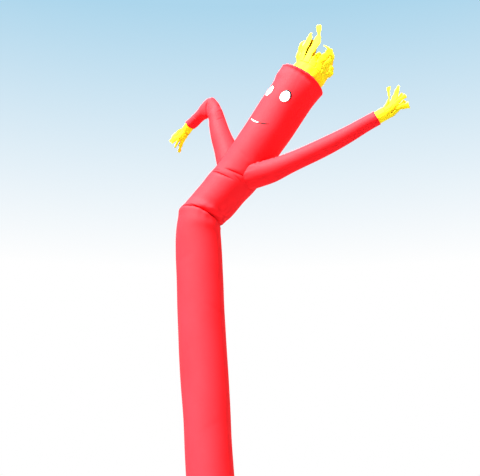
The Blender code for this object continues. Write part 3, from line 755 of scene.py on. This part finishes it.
def seamStations(tube, turns, inward):
    # for each line of the sleeve, the station at which it meets the body cloth
    high = np.full(len(turns), tube["at"]["upper"])
    low = np.zeros(len(turns))

    def clearOf(at):
        points = skin(tube, at, turns) - skinNormal(tube, at, turns) * inward
        return np.array([outsideBy(point) for point in points]) > sleeve["gap"]
    step = 0.010
    unsettled = np.ones(len(turns), bool)
    probe = high.copy()
    while unsettled.any() and probe.min() > 0.0:
        probe = np.where(unsettled, np.maximum(probe - step, 0.0), probe)
        free = clearOf(probe)
        high = np.where(unsettled & free, probe, high)
        low = np.where(unsettled & ~free, probe, low)
        unsettled = unsettled & free & (probe > 0.0)
    for _ in range(14):
        middle = (low + high) / 2
        free = clearOf(middle)
        high = np.where(free, middle, high)
        low = np.where(free, low, middle)
    return high


def buildSleeve(name, tube, seed, seamTurn):
    end = tube["station"][-1]
    start = tube["at"]["upper"]
    radius = float(np.mean(tube["values"][3:, 3]))
    tube["rules"] = [
        swellRule(tube, 0.0008, seed),
        hemRule(end - sleeve["cuffHem"], end + 1.0, sleeve["cuffThick"]),
        puckerRule(end - sleeve["cuffHem"], 0.0009, 0.030, 9, 0.3),
        seamRule(seamTurn, 0.010, 0.0009, radius),
    ]
    turns = np.arange(sleeve["sides"]) * 2 * math.pi / sleeve["sides"]
    free = np.arange(start, end - sleeve["cuffHem"] - 0.004, sleeve["ringStep"])
    free = np.concatenate([free, end - sleeve["cuffHem"] + np.array([-0.0015, 0.0015]), [end - 0.006, end]])
    walls = []
    shades = []
    for inward in (0.0, sleeve["thick"]):
        roots = seamStations(tube, turns, inward)
        rows = []
        for k in range(sleeve["rootRings"]):
            share = (k / sleeve["rootRings"]) ** sleeve["rootBunch"]
            at = roots + (start - roots) * share
            away = at - roots
            gather = np.cos(sleeve["gathers"] * turns + np.sin(3 * turns + seed))
            gather = gather * (1 - np.exp(-away / sleeve["gatherFrom"])) * np.exp(-away / sleeve["gatherReach"])
            point = skin(tube, at, turns)
            normal = skinNormal(tube, at, turns)
            rows.append(point + normal * (sleeve["gatherHigh"] * gather - inward)[:, None])
            if not inward:
                shades.append(shadeOf(tube, at, turns))
        for at in free:
            level = np.full(len(turns), at)
            extra = sleeve["cuffThick"] if inward and at > end - sleeve["cuffHem"] else 0.0
            if not inward:
                shades.append(shadeOf(tube, level, turns))
            rows.append(skin(tube, level, turns) - skinNormal(tube, level, turns) * (inward + extra))
        walls.append(np.array(rows))
        if not inward:
            seamLine = roots
    ats = np.concatenate([np.mean(seamLine) + (start - np.mean(seamLine))
                          * (np.arange(sleeve["rootRings"]) / sleeve["rootRings"]) ** sleeve["rootBunch"], free])
    piece = doubleWall(name, walls[0], walls[1], ats, turns, radius, [redNylon], np.array(shades))
    return piece, turns, seamLine


armRightPiece, armRightTurns, armRightSeam = buildSleeve(
    "sleeveRightCloth", armRightTube, 7, sleeve["seamTurnRight"],
)
armLeftPiece, armLeftTurns, armLeftSeam = buildSleeve(
    "sleeveLeftCloth", armLeftTube, 9, sleeve["seamTurnLeft"],
)
print("sleeves:", len(armRightPiece.data.polygons) + len(armLeftPiece.data.polygons), "faces")


# Face patches
face = {
    "above": "face_high",  # the section that the heights count from
    "thick": 0.0009, "lift": 0.0006, "tuck": 0.0004,
    "rimEdge": 0.009, "rimUp": 0.012, "rimTurn": 0.5,
    "mouthUp": -0.190, "mouthTurn": -29.0, "mouthHalf": 0.121, "mouthSag": 0.036, "mouthRise": 0.013,
    "lineHigh": 0.0095, "whiteHigh": 0.0050, "whiteLift": 0.001, "whiteFrom": -0.78, "whiteTo": 0.20,
}
eyes = {  # metres up, turn, half height, half width
    "Right": (0.142, -1.5, 0.058, 0.046),
    "Left": (0.130, -54.5, 0.058, 0.043),
}


def layPatch(name, at, turn, lift, material, faces, flatMap):
    # top and under side of a thin patch that follows the body cloth; faces are those of the top
    normal = skinNormal(bodyTube, at, turn)
    ground = skin(bodyTube, at, turn)
    count = len(at)
    points = np.concatenate([ground + normal * (lift + face["thick"]), ground + normal * lift])
    under = [tuple(reversed([n + count for n in item])) for item in faces]
    edges = {}
    for item in faces:
        for a, b in zip(item, item[1:] + item[:1]):
            edges[a, b] = True
    rim = [(a, b) for a, b in edges if (b, a) not in edges]
    sides = [(b, a, a + count, b + count) for a, b in rim]
    everything = [tuple(item) for item in faces] + under + sides
    both = np.concatenate([flatMap, flatMap])
    uvs = np.concatenate([both[list(item)] for item in everything])
    return addPiece(name, points.tolist(), everything, uvs, [material])


def ovalPatch(name, up, turnDegrees, tall, wide, lift, material, loops=7, spokes=56):
    angle = np.arange(spokes) * 2 * math.pi / spokes
    scale = np.linspace(1.0, 0.0, loops + 1)[:-1]
    rows = np.array([[r * math.sin(a) * tall for a in angle] for r in scale])
    cols = np.array([[r * math.cos(a) * wide for a in angle] for r in scale])
    high = np.append(rows.ravel(), 0.0)
    sideways = np.append(cols.ravel(), 0.0)
    faces = []
    for i in range(loops - 1):
        for j in range(spokes):
            k = (j + 1) % spokes
            faces.append([i * spokes + j, i * spokes + k, (i + 1) * spokes + k, (i + 1) * spokes + j])
    hub = loops * spokes
    for j in range(spokes):
        faces.append([(loops - 1) * spokes + j, (loops - 1) * spokes + (j + 1) % spokes, hub])
    at = bodyTube["at"][face["above"]] + up + high
    turn = math.radians(turnDegrees) + sideways / tubeRadius
    return layPatch(name, at, turn, lift, material, faces, np.column_stack([sideways, high]))


def smileLine(t):
    up = face["mouthUp"] + face["mouthRise"] * t - face["mouthSag"] * (1 - t * t)
    return up, math.radians(face["mouthTurn"]) + t * face["mouthHalf"] / tubeRadius


def smilePatch(name, first, last, high, rise, lift, material, steps=44, rows=4):
    t = np.linspace(first, last, steps + 1)
    local = np.linspace(-1, 1, steps + 1)
    half = high * (0.15 + 0.85 * np.sqrt(1 - local**2))
    up, turn = smileLine(t)
    share = np.linspace(-1, 1, rows + 1)
    at = bodyTube["at"][face["above"]] + (up + rise)[:, None] + half[:, None] * share
    turns = np.repeat(turn[:, None], rows + 1, axis=1)
    faces = []
    for i in range(steps):
        for j in range(rows):
            a = i * (rows + 1) + j
            faces.append([a, a + rows + 1, a + rows + 2, a + 1])
    flatMap = np.column_stack([turns.ravel() * tubeRadius, at.ravel()])
    return layPatch(name, at.ravel(), turns.ravel(), lift, material, faces, flatMap)


facePieces = {}
for side, (up, turn, tall, wide) in eyes.items():
    facePieces["rim" + side] = ovalPatch(
        "eyeRim" + side, up + face["rimUp"], turn + face["rimTurn"], tall + face["rimEdge"],
        wide + face["rimEdge"], face["lift"], blackCloth,
    )
    facePieces["white" + side] = ovalPatch(
        "eyeWhite" + side, up, turn, tall, wide, 2 * face["lift"] + face["thick"], whiteCloth,
    )
facePieces["mouthLine"] = smilePatch("mouthLine", -1.0, 1.0, face["lineHigh"], 0.0, face["lift"], blackCloth)
facePieces["mouthWhite"] = smilePatch(
    "mouthWhite", face["whiteFrom"], face["whiteTo"], face["whiteHigh"], face["whiteLift"],
    2 * face["lift"] + face["thick"], whiteCloth,
)
print("face:", len(facePieces), "patches")


# Geometry Nodes
def newTree(name, inputs):
    tree = bpy.data.node_groups.new(name, "GeometryNodeTree")
    tree.interface.new_socket("Geometry", in_out="INPUT", socket_type="NodeSocketGeometry")
    kinds = {int: "NodeSocketInt", float: "NodeSocketFloat"}
    for label, value in inputs.items():
        kind = kinds.get(type(value), "NodeSocketMaterial")
        socket = tree.interface.new_socket(label, in_out="INPUT", socket_type=kind)
        if kind != "NodeSocketMaterial":
            socket.default_value = value
    tree.interface.new_socket("Geometry", in_out="OUTPUT", socket_type="NodeSocketGeometry")
    return tree, tree.nodes.new("NodeGroupInput"), tree.nodes.new("NodeGroupOutput")


def namedVector(tree, name):
    node = tree.nodes.new("GeometryNodeInputNamedAttribute")
    node.data_type = "FLOAT_VECTOR"
    node.inputs["Name"].default_value = name
    return node.outputs["Attribute"]


def namedFloat(tree, name):
    node = tree.nodes.new("GeometryNodeInputNamedAttribute")
    node.data_type = "FLOAT"
    node.inputs["Name"].default_value = name
    return node.outputs["Attribute"]


def mathNode(tree, operation, first, second):
    node = tree.nodes.new("ShaderNodeMath")
    node.operation = operation
    for index, value in enumerate((first, second)):
        if isinstance(value, (int, float)):
            node.inputs[index].default_value = value
        else:
            tree.links.new(value, node.inputs[index])
    return node.outputs[0]


def finishTree(tree, geometry, source, sink):
    realize = tree.nodes.new("GeometryNodeRealizeInstances")
    paint = tree.nodes.new("GeometryNodeSetMaterial")
    tree.links.new(geometry, realize.inputs[0])
    tree.links.new(realize.outputs[0], paint.inputs["Geometry"])
    tree.links.new(source.outputs["Material"], paint.inputs["Material"])
    tree.links.new(paint.outputs[0], sink.inputs[0])


def stitchTree():
    # a thread stitch at every pitch along the paths, lying on the cloth
    tree, source, sink = newTree("stitches", {
        "Pitch": 0.009, "Stitch Length": 0.0062, "Thread": 0.0011, "Slant": 0.0, "Material": None,
    })
    links = tree.links
    curve = tree.nodes.new("GeometryNodeMeshToCurve")
    links.new(source.outputs["Geometry"], curve.inputs[0])
    resample = tree.nodes.new("GeometryNodeResampleCurve")
    resample.mode = "LENGTH"
    links.new(curve.outputs[0], resample.inputs["Curve"])
    links.new(source.outputs["Pitch"], resample.inputs["Length"])
    ball = tree.nodes.new("GeometryNodeMeshUVSphere")
    ball.inputs["Segments"].default_value = 6
    ball.inputs["Rings"].default_value = 4
    ball.inputs["Radius"].default_value = 0.5
    size = tree.nodes.new("ShaderNodeCombineXYZ")
    links.new(source.outputs["Stitch Length"], size.inputs[0])
    links.new(source.outputs["Thread"], size.inputs[1])
    links.new(mathNode(tree, "MULTIPLY", source.outputs["Thread"], 0.7), size.inputs[2])
    shape = tree.nodes.new("GeometryNodeTransform")
    links.new(ball.outputs["Mesh"], shape.inputs["Geometry"])
    links.new(size.outputs[0], shape.inputs["Scale"])
    spin = tree.nodes.new("ShaderNodeCombineXYZ")
    links.new(source.outputs["Slant"], spin.inputs[2])
    turned = tree.nodes.new("GeometryNodeTransform")
    links.new(shape.outputs[0], turned.inputs["Geometry"])
    links.new(spin.outputs[0], turned.inputs["Rotation"])
    tangent = tree.nodes.new("GeometryNodeInputTangent")
    alongPath = tree.nodes.new("FunctionNodeAlignRotationToVector")
    alongPath.axis = "X"
    links.new(tangent.outputs[0], alongPath.inputs["Vector"])
    onCloth = tree.nodes.new("FunctionNodeAlignRotationToVector")
    onCloth.axis = "Z"
    onCloth.pivot_axis = "X"
    links.new(alongPath.outputs[0], onCloth.inputs["Rotation"])
    links.new(namedVector(tree, "outward"), onCloth.inputs["Vector"])
    place = tree.nodes.new("GeometryNodeInstanceOnPoints")
    links.new(resample.outputs[0], place.inputs["Points"])
    links.new(turned.outputs[0], place.inputs["Instance"])
    links.new(onCloth.outputs[0], place.inputs["Rotation"])
    finishTree(tree, place.outputs[0], source, sink)
    return tree


def fringeTree():
    # a ribbon of cloth along every path, bowed across, crumpled, with a map in metres
    tree, source, sink = newTree("fringeStrips", {
        "Columns": 7, "Bow": 0.10, "Crumple": 0.016, "Crumple Scale": 14.0, "Seed": 3, "Material": None,
    })
    links = tree.links
    curve = tree.nodes.new("GeometryNodeMeshToCurve")
    links.new(source.outputs["Geometry"], curve.inputs[0])
    faced = tree.nodes.new("GeometryNodeSetCurveNormal")
    faced.mode = "FREE"
    links.new(curve.outputs[0], faced.inputs["Curve"])
    links.new(namedVector(tree, "outward"), faced.inputs["Normal"])
    line = tree.nodes.new("GeometryNodeCurvePrimitiveLine")
    line.inputs["Start"].default_value = (0.0, -1.0, 0.0)
    line.inputs["End"].default_value = (0.0, 1.0, 0.0)
    columns = tree.nodes.new("GeometryNodeResampleCurve")
    links.new(line.outputs[0], columns.inputs["Curve"])
    links.new(source.outputs["Columns"], columns.inputs["Count"])
    place = tree.nodes.new("GeometryNodeInputPosition")
    split = tree.nodes.new("ShaderNodeSeparateXYZ")
    links.new(place.outputs[0], split.inputs[0])
    squared = mathNode(tree, "MULTIPLY", split.outputs["Y"], split.outputs["Y"])
    bowed = mathNode(tree, "MULTIPLY", mathNode(tree, "SUBTRACT", 1.0, squared), source.outputs["Bow"])
    lift = tree.nodes.new("ShaderNodeCombineXYZ")
    links.new(bowed, lift.inputs["X"])
    bend = tree.nodes.new("GeometryNodeSetPosition")
    links.new(columns.outputs[0], bend.inputs["Geometry"])
    links.new(lift.outputs[0], bend.inputs["Offset"])
    keep = tree.nodes.new("GeometryNodeStoreNamedAttribute")
    keep.data_type = "FLOAT"
    keep.inputs["Name"].default_value = "acrossStrip"
    links.new(bend.outputs[0], keep.inputs["Geometry"])
    links.new(split.outputs["Y"], keep.inputs["Value"])
    ribbon = tree.nodes.new("GeometryNodeCurveToMesh")
    links.new(faced.outputs[0], ribbon.inputs["Curve"])
    links.new(namedFloat(tree, "halfWidth"), ribbon.inputs["Scale"])
    links.new(keep.outputs[0], ribbon.inputs["Profile Curve"])
    noise = tree.nodes.new("ShaderNodeTexNoise")
    noise.noise_dimensions = "4D"
    noise.inputs["Detail"].default_value = 2.0
    links.new(source.outputs["Crumple Scale"], noise.inputs["Scale"])
    links.new(mathNode(tree, "ADD", namedFloat(tree, "stripNumber"), source.outputs["Seed"]), noise.inputs["W"])
    normal = tree.nodes.new("GeometryNodeInputNormal")
    fold = mathNode(tree, "SUBTRACT", noise.outputs["Fac"], 0.5)
    free = mathNode(tree, "MINIMUM", mathNode(tree, "MULTIPLY", namedFloat(tree, "alongStrip"), 3.0), 1.0)
    amount = mathNode(tree, "MULTIPLY", mathNode(tree, "MULTIPLY", fold, free), source.outputs["Crumple"])
    push = tree.nodes.new("ShaderNodeVectorMath")
    push.operation = "SCALE"
    links.new(normal.outputs[0], push.inputs[0])
    links.new(mathNode(tree, "MULTIPLY", amount, 2.0), push.inputs["Scale"])
    crumple = tree.nodes.new("GeometryNodeSetPosition")
    links.new(ribbon.outputs[0], crumple.inputs["Geometry"])
    links.new(push.outputs[0], crumple.inputs["Offset"])
    flat = tree.nodes.new("ShaderNodeCombineXYZ")
    sideways = mathNode(tree, "MULTIPLY", namedFloat(tree, "acrossStrip"), namedFloat(tree, "halfWidth"))
    links.new(sideways, flat.inputs[0])
    links.new(namedFloat(tree, "alongMetres"), flat.inputs[1])
    mapped = tree.nodes.new("GeometryNodeStoreNamedAttribute")
    mapped.data_type = "FLOAT2"
    mapped.domain = "CORNER"
    mapped.inputs["Name"].default_value = "UVMap"
    links.new(crumple.outputs[0], mapped.inputs["Geometry"])
    links.new(flat.outputs[0], mapped.inputs["Value"])
    finishTree(tree, mapped.outputs[0], source, sink)
    return tree


def runTree(piece, tree, values):
    # adds the tree as a modifier and sets its inputs by identifier
    modifier = piece.modifiers.new("nodes", "NODES")
    modifier.node_group = tree
    for item in tree.interface.items_tree:
        if item.item_type == "SOCKET" and item.in_out == "INPUT" and item.name in values:
            modifier[item.identifier] = values[item.name]


def takeMesh(piece, name):
    # the result as a plain mesh, with the modifiers removed
    graph = bpy.context.evaluated_depsgraph_get()
    made = bpy.data.meshes.new_from_object(piece.evaluated_get(graph))
    piece.modifiers.clear()
    made.name = name
    old = piece.data
    piece.data = made
    bpy.data.meshes.remove(old)
    return piece


def pathPiece(name, lines, extras):
    # open or closed lines of points as one mesh of edges, with their attributes
    points = np.concatenate([line["points"] for line in lines])
    edges = []
    start = 0
    for line in lines:
        count = len(line["points"])
        edges += [(start + n, start + n + 1) for n in range(count - 1)]
        if line.get("closed"):
            edges.append((start + count - 1, start))
        start += count
    mesh = bpy.data.meshes.new(name)
    mesh.from_pydata(points.tolist(), edges, [])
    for key in extras:
        values = np.concatenate([np.asarray(line[key], float) for line in lines])
        vector = values.ndim == 2
        layer = mesh.attributes.new(key, "FLOAT_VECTOR" if vector else "FLOAT", "POINT")
        layer.data.foreach_set("vector" if vector else "value", values.astype(np.float32).ravel())
    piece = bpy.data.objects.new(name, mesh)
    scene.collection.objects.link(piece)
    return piece


# Stitches
stitch = {"lift": 0.0002, "step": 0.02}


def lineOnTube(tube, at, turn, closed=False, lift=stitch["lift"]):
    normal = skinNormal(tube, at, turn)
    return {"points": skin(tube, at, turn) + normal * lift, "outward": normal, "closed": closed}


def ringOnTube(tube, at, count=120):
    turn = np.arange(count) * 2 * math.pi / count
    return lineOnTube(tube, np.full(count, at), turn, closed=True)


def longLine(tube, turnDegrees, low, high):
    at = np.arange(low, high, stitch["step"])
    return lineOnTube(tube, at, np.full(len(at), math.radians(turnDegrees)))


def ovalLine(up, turnDegrees, tall, wide, lift, count=64):
    angle = np.arange(count) * 2 * math.pi / count
    at = bodyTube["at"][face["above"]] + up + np.sin(angle) * tall
    turn = math.radians(turnDegrees) + np.cos(angle) * wide / tubeRadius
    return lineOnTube(bodyTube, at, turn, True, lift)


def sewn(name, lines, tree, values, material):
    piece = pathPiece(name, lines, ["outward"])
    runTree(piece, tree, {**values, "Material": material})
    return takeMesh(piece, name)


threads = stitchTree()
seamOffset = math.degrees(0.0045 / tubeRadius)
redLines = [
    ringOnTube(bodyTube, 0.008), ringOnTube(bodyTube, body["hemHigh"] - 0.006),
    ringOnTube(bodyTube, bodyEnd - body["topHem"] + 0.004), ringOnTube(bodyTube, bodyEnd - 0.004),
    longLine(bodyTube, body["seamTurn"] - seamOffset, 0.055, bodyEnd - 0.025),
    longLine(bodyTube, body["seamTurn"] + seamOffset, 0.055, bodyEnd - 0.025),
]
for tube, turns, seam, seamTurn in (
    (armRightTube, armRightTurns, armRightSeam, sleeve["seamTurnRight"]),
    (armLeftTube, armLeftTurns, armLeftSeam, sleeve["seamTurnLeft"]),
):
    end = tube["station"][-1]
    redLines.append(lineOnTube(tube, seam + 0.007, turns, True))
    redLines.append(ringOnTube(tube, end - sleeve["cuffHem"] + 0.003, 80))
    redLines.append(longLine(tube, seamTurn, tube["at"]["free"] + 0.06, end - 0.02))
seamStitches = sewn("seamStitches", redLines, threads, {}, redThread)
edgeLines = []
for up, turn, tall, wide in eyes.values():
    edgeLines.append(ovalLine(up, turn, tall - 0.001, wide - 0.001, 2 * face["lift"] + 2 * face["thick"]))
eyeStitches = sewn(
    "eyeStitches", edgeLines, threads,
    {"Pitch": 0.0036, "Stitch Length": 0.0050, "Thread": 0.0009, "Slant": math.radians(74.0)}, whiteCloth,
)
print("stitches:", len(seamStitches.data.polygons) + len(eyeStitches.data.polygons), "faces")


# Fringes
fringe = {
    "thick": 0.0011, "points": 30,
    "hair": {"radius": 0.1800, "shift": 0.015, "below": 0.060, "above": 0.095, "first": -77.0,
             "wave": 0.007, "bow": 0.12, "crumple": 0.014, "scale": 12.0, "seed": 5},
    "handRight": {"radius": 0.0620, "shift": 0.0, "below": 0.030, "above": 0.090, "first": -67.5,
                  "wave": 0.003, "bow": 0.20, "crumple": 0.006, "scale": 20.0, "seed": 21},
    "handLeft": {"radius": 0.0520, "shift": 0.0, "below": 0.022, "above": 0.080, "first": -67.5,
                 "wave": 0.003, "bow": 0.20, "crumple": 0.006, "scale": 20.0, "seed": 34},
}
# low, high and tip, each as up, across, front; widths there; twist in degrees; the neck's share drawn in
hairStrips = [
    ((0.190, -0.215, 0.030), (0.260, -0.240, 0.030), (0.365, -0.265, 0.020), (0.065, 0.055, 0.017), 35, 0.0),
    ((0.200, -0.175, 0.090), (0.330, -0.200, 0.080), (0.455, -0.245, 0.060), (0.080, 0.075, 0.027), 15, 0.0),
    ((0.225, -0.100, 0.130), (0.360, -0.115, 0.120), (0.565, -0.220, 0.080), (0.065, 0.080, 0.046), 0, 0.6),
    ((0.160, -0.010, 0.170), (0.215, -0.015, 0.170), (0.275, -0.005, 0.160), (0.065, 0.050, 0.025), 20, 0.0),
    ((0.190, 0.040, 0.150), (0.370, 0.030, 0.120), (0.390, -0.045, 0.100), (0.070, 0.055, 0.013), -10, 0.0),
    ((0.200, 0.110, 0.100), (0.315, 0.100, 0.080), (0.435, 0.035, 0.050), (0.065, 0.055, 0.034), -30, 0.0),
    ((0.160, 0.165, 0.040), (0.215, 0.175, 0.030), (0.280, 0.140, 0.030), (0.065, 0.060, 0.042), -50, 0.0),
    ((0.230, 0.110, -0.050), (0.315, 0.100, -0.040), (0.405, 0.075, -0.020), (0.075, 0.065, 0.032), 55, 0.0),
    ((0.265, 0.045, -0.090), (0.355, 0.030, -0.080), (0.430, 0.005, -0.060), (0.080, 0.070, 0.036), 35, 0.0),
    ((0.290, -0.035, -0.130), (0.345, -0.030, -0.110), (0.390, -0.020, -0.090), (0.075, 0.060, 0.042), -15, 0.0),
    ((0.295, -0.115, -0.140), (0.360, -0.135, -0.130), (0.420, -0.145, -0.110), (0.080, 0.060, 0.032), 10, 0.0),
    ((0.290, -0.175, -0.130), (0.395, -0.195, -0.120), (0.480, -0.210, -0.090), (0.080, 0.070, 0.042), -10, 0.0),
    ((0.265, -0.215, -0.100), (0.360, -0.240, -0.090), (0.430, -0.245, -0.070), (0.075, 0.060, 0.032), 15, 0.0),
    ((0.220, -0.225, -0.040), (0.285, -0.245, -0.030), (0.340, -0.255, -0.020), (0.065, 0.055, 0.025), 10, 0.0),
]
handRightStrips = [
    ((0.145, -0.075, 0.020), (0.185, -0.120, 0.020), (0.230, -0.220, 0.000), (0.044, 0.023, 0.052), 30, 0.0),
    ((0.150, -0.025, 0.060), (0.235, -0.080, 0.050), (0.315, -0.165, 0.040), (0.053, 0.058, 0.019), 10, 0.0),
    ((0.155, 0.015, 0.065), (0.255, -0.030, 0.060), (0.330, -0.040, 0.055), (0.034, 0.045, 0.038), -10, 0.3),
    ((0.140, 0.060, 0.040), (0.220, 0.035, 0.045), (0.315, 0.055, 0.050), (0.040, 0.040, 0.062), -35, 0.0),
    ((0.140, 0.015, -0.030), (0.225, 0.000, -0.020), (0.305, -0.025, -0.020), (0.052, 0.056, 0.042), 45, 0.0),
    ((0.140, -0.025, -0.050), (0.225, -0.065, -0.040), (0.315, -0.110, -0.030), (0.048, 0.043, 0.029), -10, 0.3),
    ((0.140, -0.055, -0.050), (0.200, -0.085, -0.050), (0.260, -0.125, -0.050), (0.048, 0.043, 0.029), 10, 0.0),
    ((0.135, -0.080, -0.030), (0.170, -0.100, -0.020), (0.200, -0.140, -0.020), (0.044, 0.029, 0.019), 0, 0.0),
]
handLeftStrips = [
    ((0.115, -0.045, 0.030), (0.195, -0.055, 0.035), (0.315, -0.095, 0.030), (0.054, 0.041, 0.030), 30, 0.2),
    ((0.130, -0.020, 0.050), (0.200, -0.020, 0.055), (0.300, -0.030, 0.050), (0.054, 0.032, 0.019), 10, 0.0),
    ((0.125, 0.015, 0.045), (0.205, 0.020, 0.050), (0.290, 0.040, 0.045), (0.059, 0.059, 0.034), -10, 0.0),
    ((0.130, 0.055, 0.020), (0.205, 0.065, 0.020), (0.305, 0.070, 0.020), (0.059, 0.059, 0.037), -30, 0.0),
    ((0.130, 0.060, -0.010), (0.210, 0.075, -0.010), (0.285, 0.075, -0.010), (0.052, 0.047, 0.026), -20, 0.0),
    ((0.130, 0.045, -0.040), (0.215, 0.050, -0.040), (0.300, 0.065, -0.040), (0.052, 0.047, 0.028), -10, 0.0),
    ((0.105, -0.010, -0.030), (0.195, -0.010, -0.030), (0.285, -0.030, -0.020), (0.052, 0.041, 0.026), 10, 0.0),
    ((0.100, -0.045, 0.000), (0.165, -0.040, 0.000), (0.245, -0.050, 0.010), (0.052, 0.043, 0.028), 40, 0.0),
]


def fringeFrame(tube, size):
    centre, across, front, up, half, deep = framesAt(tube, tube["station"][-1:])
    centre, across, front, up = centre[0], across[0], front[0], up[0]
    centre = centre + across * size["shift"]

    def place(along, sideways, forward):
        return (centre + np.multiply.outer(along, up) + np.multiply.outer(sideways, across)
                + np.multiply.outer(forward, front))
    return place


def buildBand(name, place, size):
    # the doubled band of cloth that the strips are cut from
    sides = 112
    turns = np.arange(sides) * 2 * math.pi / sides
    ats = np.linspace(-size["below"], size["above"], 16)
    walls = []
    for inward in (0.0, fringe["thick"] + 0.0004):
        at, turn = np.meshgrid(ats, turns, indexing="ij")
        loose = np.sin(math.pi * np.clip(at / size["above"], 0.0, 1.0))
        ripple = 0.016 * size["radius"] * np.cos(9 * turn + 2 * np.sin(2 * turn)) * loose
        radius = size["radius"] + ripple - inward
        walls.append(place(at, radius * np.sin(turn), radius * np.cos(turn)))
    return doubleWall(name, walls[0], walls[1], ats, turns, size["radius"], [yellowNylon])


def throughRows(rows, firstRise, count):
    # an even walk along the smooth curve through the rows, which begin with x, y, z
    gap = np.linalg.norm(np.diff(rows[:, :3], axis=0), axis=1)
    knots = np.concatenate([[0.0], np.cumsum(gap)])
    rise = np.diff(rows, axis=0) / gap[:, None]
    slopes = np.vstack([firstRise, (rise[:-1] * gap[1:, None] + rise[1:] * gap[:-1, None])
                        / (gap[1:] + gap[:-1])[:, None], rise[-1:]])
    s = np.linspace(0.0, knots[-1], count)
    i = np.clip(np.searchsorted(knots, s) - 1, 0, len(gap) - 1)
    t = ((s - knots[i]) / gap[i])[:, None]
    step = gap[i][:, None]
    found = (2 * t**3 - 3 * t**2 + 1) * rows[i] + (t**3 - 2 * t**2 + t) * step * slopes[i]
    return found + (3 * t**2 - 2 * t**3) * rows[i + 1] + (t**3 - t**2) * step * slopes[i + 1]


def stripPath(place, size, count, row, turn, number, draw):
    # one strip from the band's rim, through its low and high places, to its tip
    low, high, tip, wide, twist, neck = row
    chord = 2 * size["radius"] * math.sin(math.pi / count)
    reach = size["radius"] * math.cos(math.pi / count) - 0.7 * fringe["thick"]
    start = place(size["above"] + 0.0004, reach * math.sin(turn), reach * math.cos(turn))
    origin = place(0.0, 0.0, 0.0)
    outward = unit(place(0.0, math.sin(turn), math.cos(turn)) - origin)
    side = unit(place(0.0, math.cos(turn), -math.sin(turn)) - origin)
    rows = np.vstack([np.append(start, chord)] + [
        np.append(place(*spot), width) for spot, width in zip((low, high, tip), wide)
    ])
    walk = throughRows(rows, np.append(unit(place(1.0, 0.0, 0.0) - origin), 0.0), fringe["points"])
    points = walk[:, :3]
    t = np.linspace(0.0, 1.0, fringe["points"])[:, None]
    heading = unit(np.gradient(points, axis=0))
    sides = np.zeros_like(points)
    for n in range(len(points)):
        side = unit(side - heading[n] * (side @ heading[n]))
        sides[n] = side
    outs = np.cross(sides, heading)
    outs *= np.sign(outs[0] @ outward)
    angle = np.radians(twist) * smoothStep(1.2 * t)
    facing = outs * np.cos(angle) + sides * np.sin(angle)
    rate = draw.uniform(1.4, 2.4, 2)
    phase = draw.uniform(0, 6.28, 2)
    swing = size["wave"] * smoothStep(1.4 * t)
    points = points + facing * swing * np.sin(6.28 * rate[0] * t + phase[0])
    points = points + sides * 0.5 * swing * np.sin(6.28 * rate[1] * t + phase[1])
    half = walk[:, 3:] / 2 * (1 - neck * np.exp(-(((t - 0.78) / 0.07) ** 2)))
    half = half * (1 + 0.10 * smoothStep(3 * t) * np.sin(6.28 * rate[1] * 2 * t + phase[0]))
    metres = np.concatenate([[0.0], np.cumsum(np.linalg.norm(np.diff(points, axis=0), axis=1))])
    return {
        "points": points, "outward": facing, "halfWidth": half[:, 0], "alongStrip": t[:, 0],
        "alongMetres": metres, "stripNumber": np.full(len(points), float(number)),
    }


def buildFringe(name, tube, key, rows):
    size = fringe[key]
    place = fringeFrame(tube, size)
    draw = np.random.default_rng(size["seed"])
    turns = np.radians(size["first"] + 360.0 * np.arange(len(rows)) / len(rows))
    lines = [
        stripPath(place, size, len(rows), row, turn, number, draw)
        for number, (row, turn) in enumerate(zip(rows, turns))
    ]
    strips = pathPiece(name, lines, ["outward", "halfWidth", "alongStrip", "alongMetres", "stripNumber"])
    for material in (yellowNylon, paintedShadeInside):
        strips.data.materials.append(material)
    runTree(strips, ribbons, {
        "Bow": size["bow"], "Crumple": size["crumple"], "Crumple Scale": size["scale"],
        "Seed": size["seed"], "Material": yellowNylon,
    })
    wall = strips.modifiers.new("thickness", "SOLIDIFY")
    wall.thickness = fringe["thick"]
    wall.offset = 0.0
    # the inner sides take the darker copy of the yellow, which is painted shade
    wall.material_offset = 1
    takeMesh(strips, name)
    band = buildBand(name + "Band", place, size)
    for item in (strips, band):
        if len(item.data.materials) < 2:
            item.data.materials.append(paintedShadeInside)
    with bpy.context.temp_override(active_object=strips, selected_editable_objects=[strips, band]):
        bpy.ops.object.join()
    strips.data.polygons.foreach_set("use_smooth", [True] * len(strips.data.polygons))
    return strips


ribbons = fringeTree()
hairPiece = buildFringe("hairFringe", bodyTube, "hair", hairStrips)
handRightPiece = buildFringe("handRightFringe", armRightTube, "handRight", handRightStrips)
handLeftPiece = buildFringe("handLeftFringe", armLeftTube, "handLeft", handLeftStrips)
print("fringes:", sum(len(p.data.polygons) for p in (hairPiece, handRightPiece, handLeftPiece)), "faces")


# What rides and what is replaced
table = [
    (bodyPiece, "red_nylon", ["body_tube"]),
    (armRightPiece, "red_nylon", ["arm_right"]),
    (armLeftPiece, "red_nylon", ["arm_left"]),
    (hairPiece, "yellow_nylon", ["hair"]),
    (handRightPiece, "yellow_nylon", ["hand_right"]),
    (handLeftPiece, "yellow_nylon", ["hand_left"]),
    (facePieces["rimRight"], "black_cloth", ["eye_right_rim"]),
    (facePieces["rimLeft"], "black_cloth", ["eye_left_rim"]),
    (facePieces["whiteRight"], "white_cloth", ["eye_right_white"]),
    (facePieces["whiteLeft"], "white_cloth", ["eye_left_white"]),
    (facePieces["mouthLine"], "black_cloth", ["mouth_line"]),
    (facePieces["mouthWhite"], "white_cloth", ["mouth_white"]),
    (seamStitches, "red_nylon", []),
    (eyeStitches, "white_cloth", []),
]
for piece, slotName, nodes in table:
    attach(piece, "root")
    if nodes:
        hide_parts(*nodes)
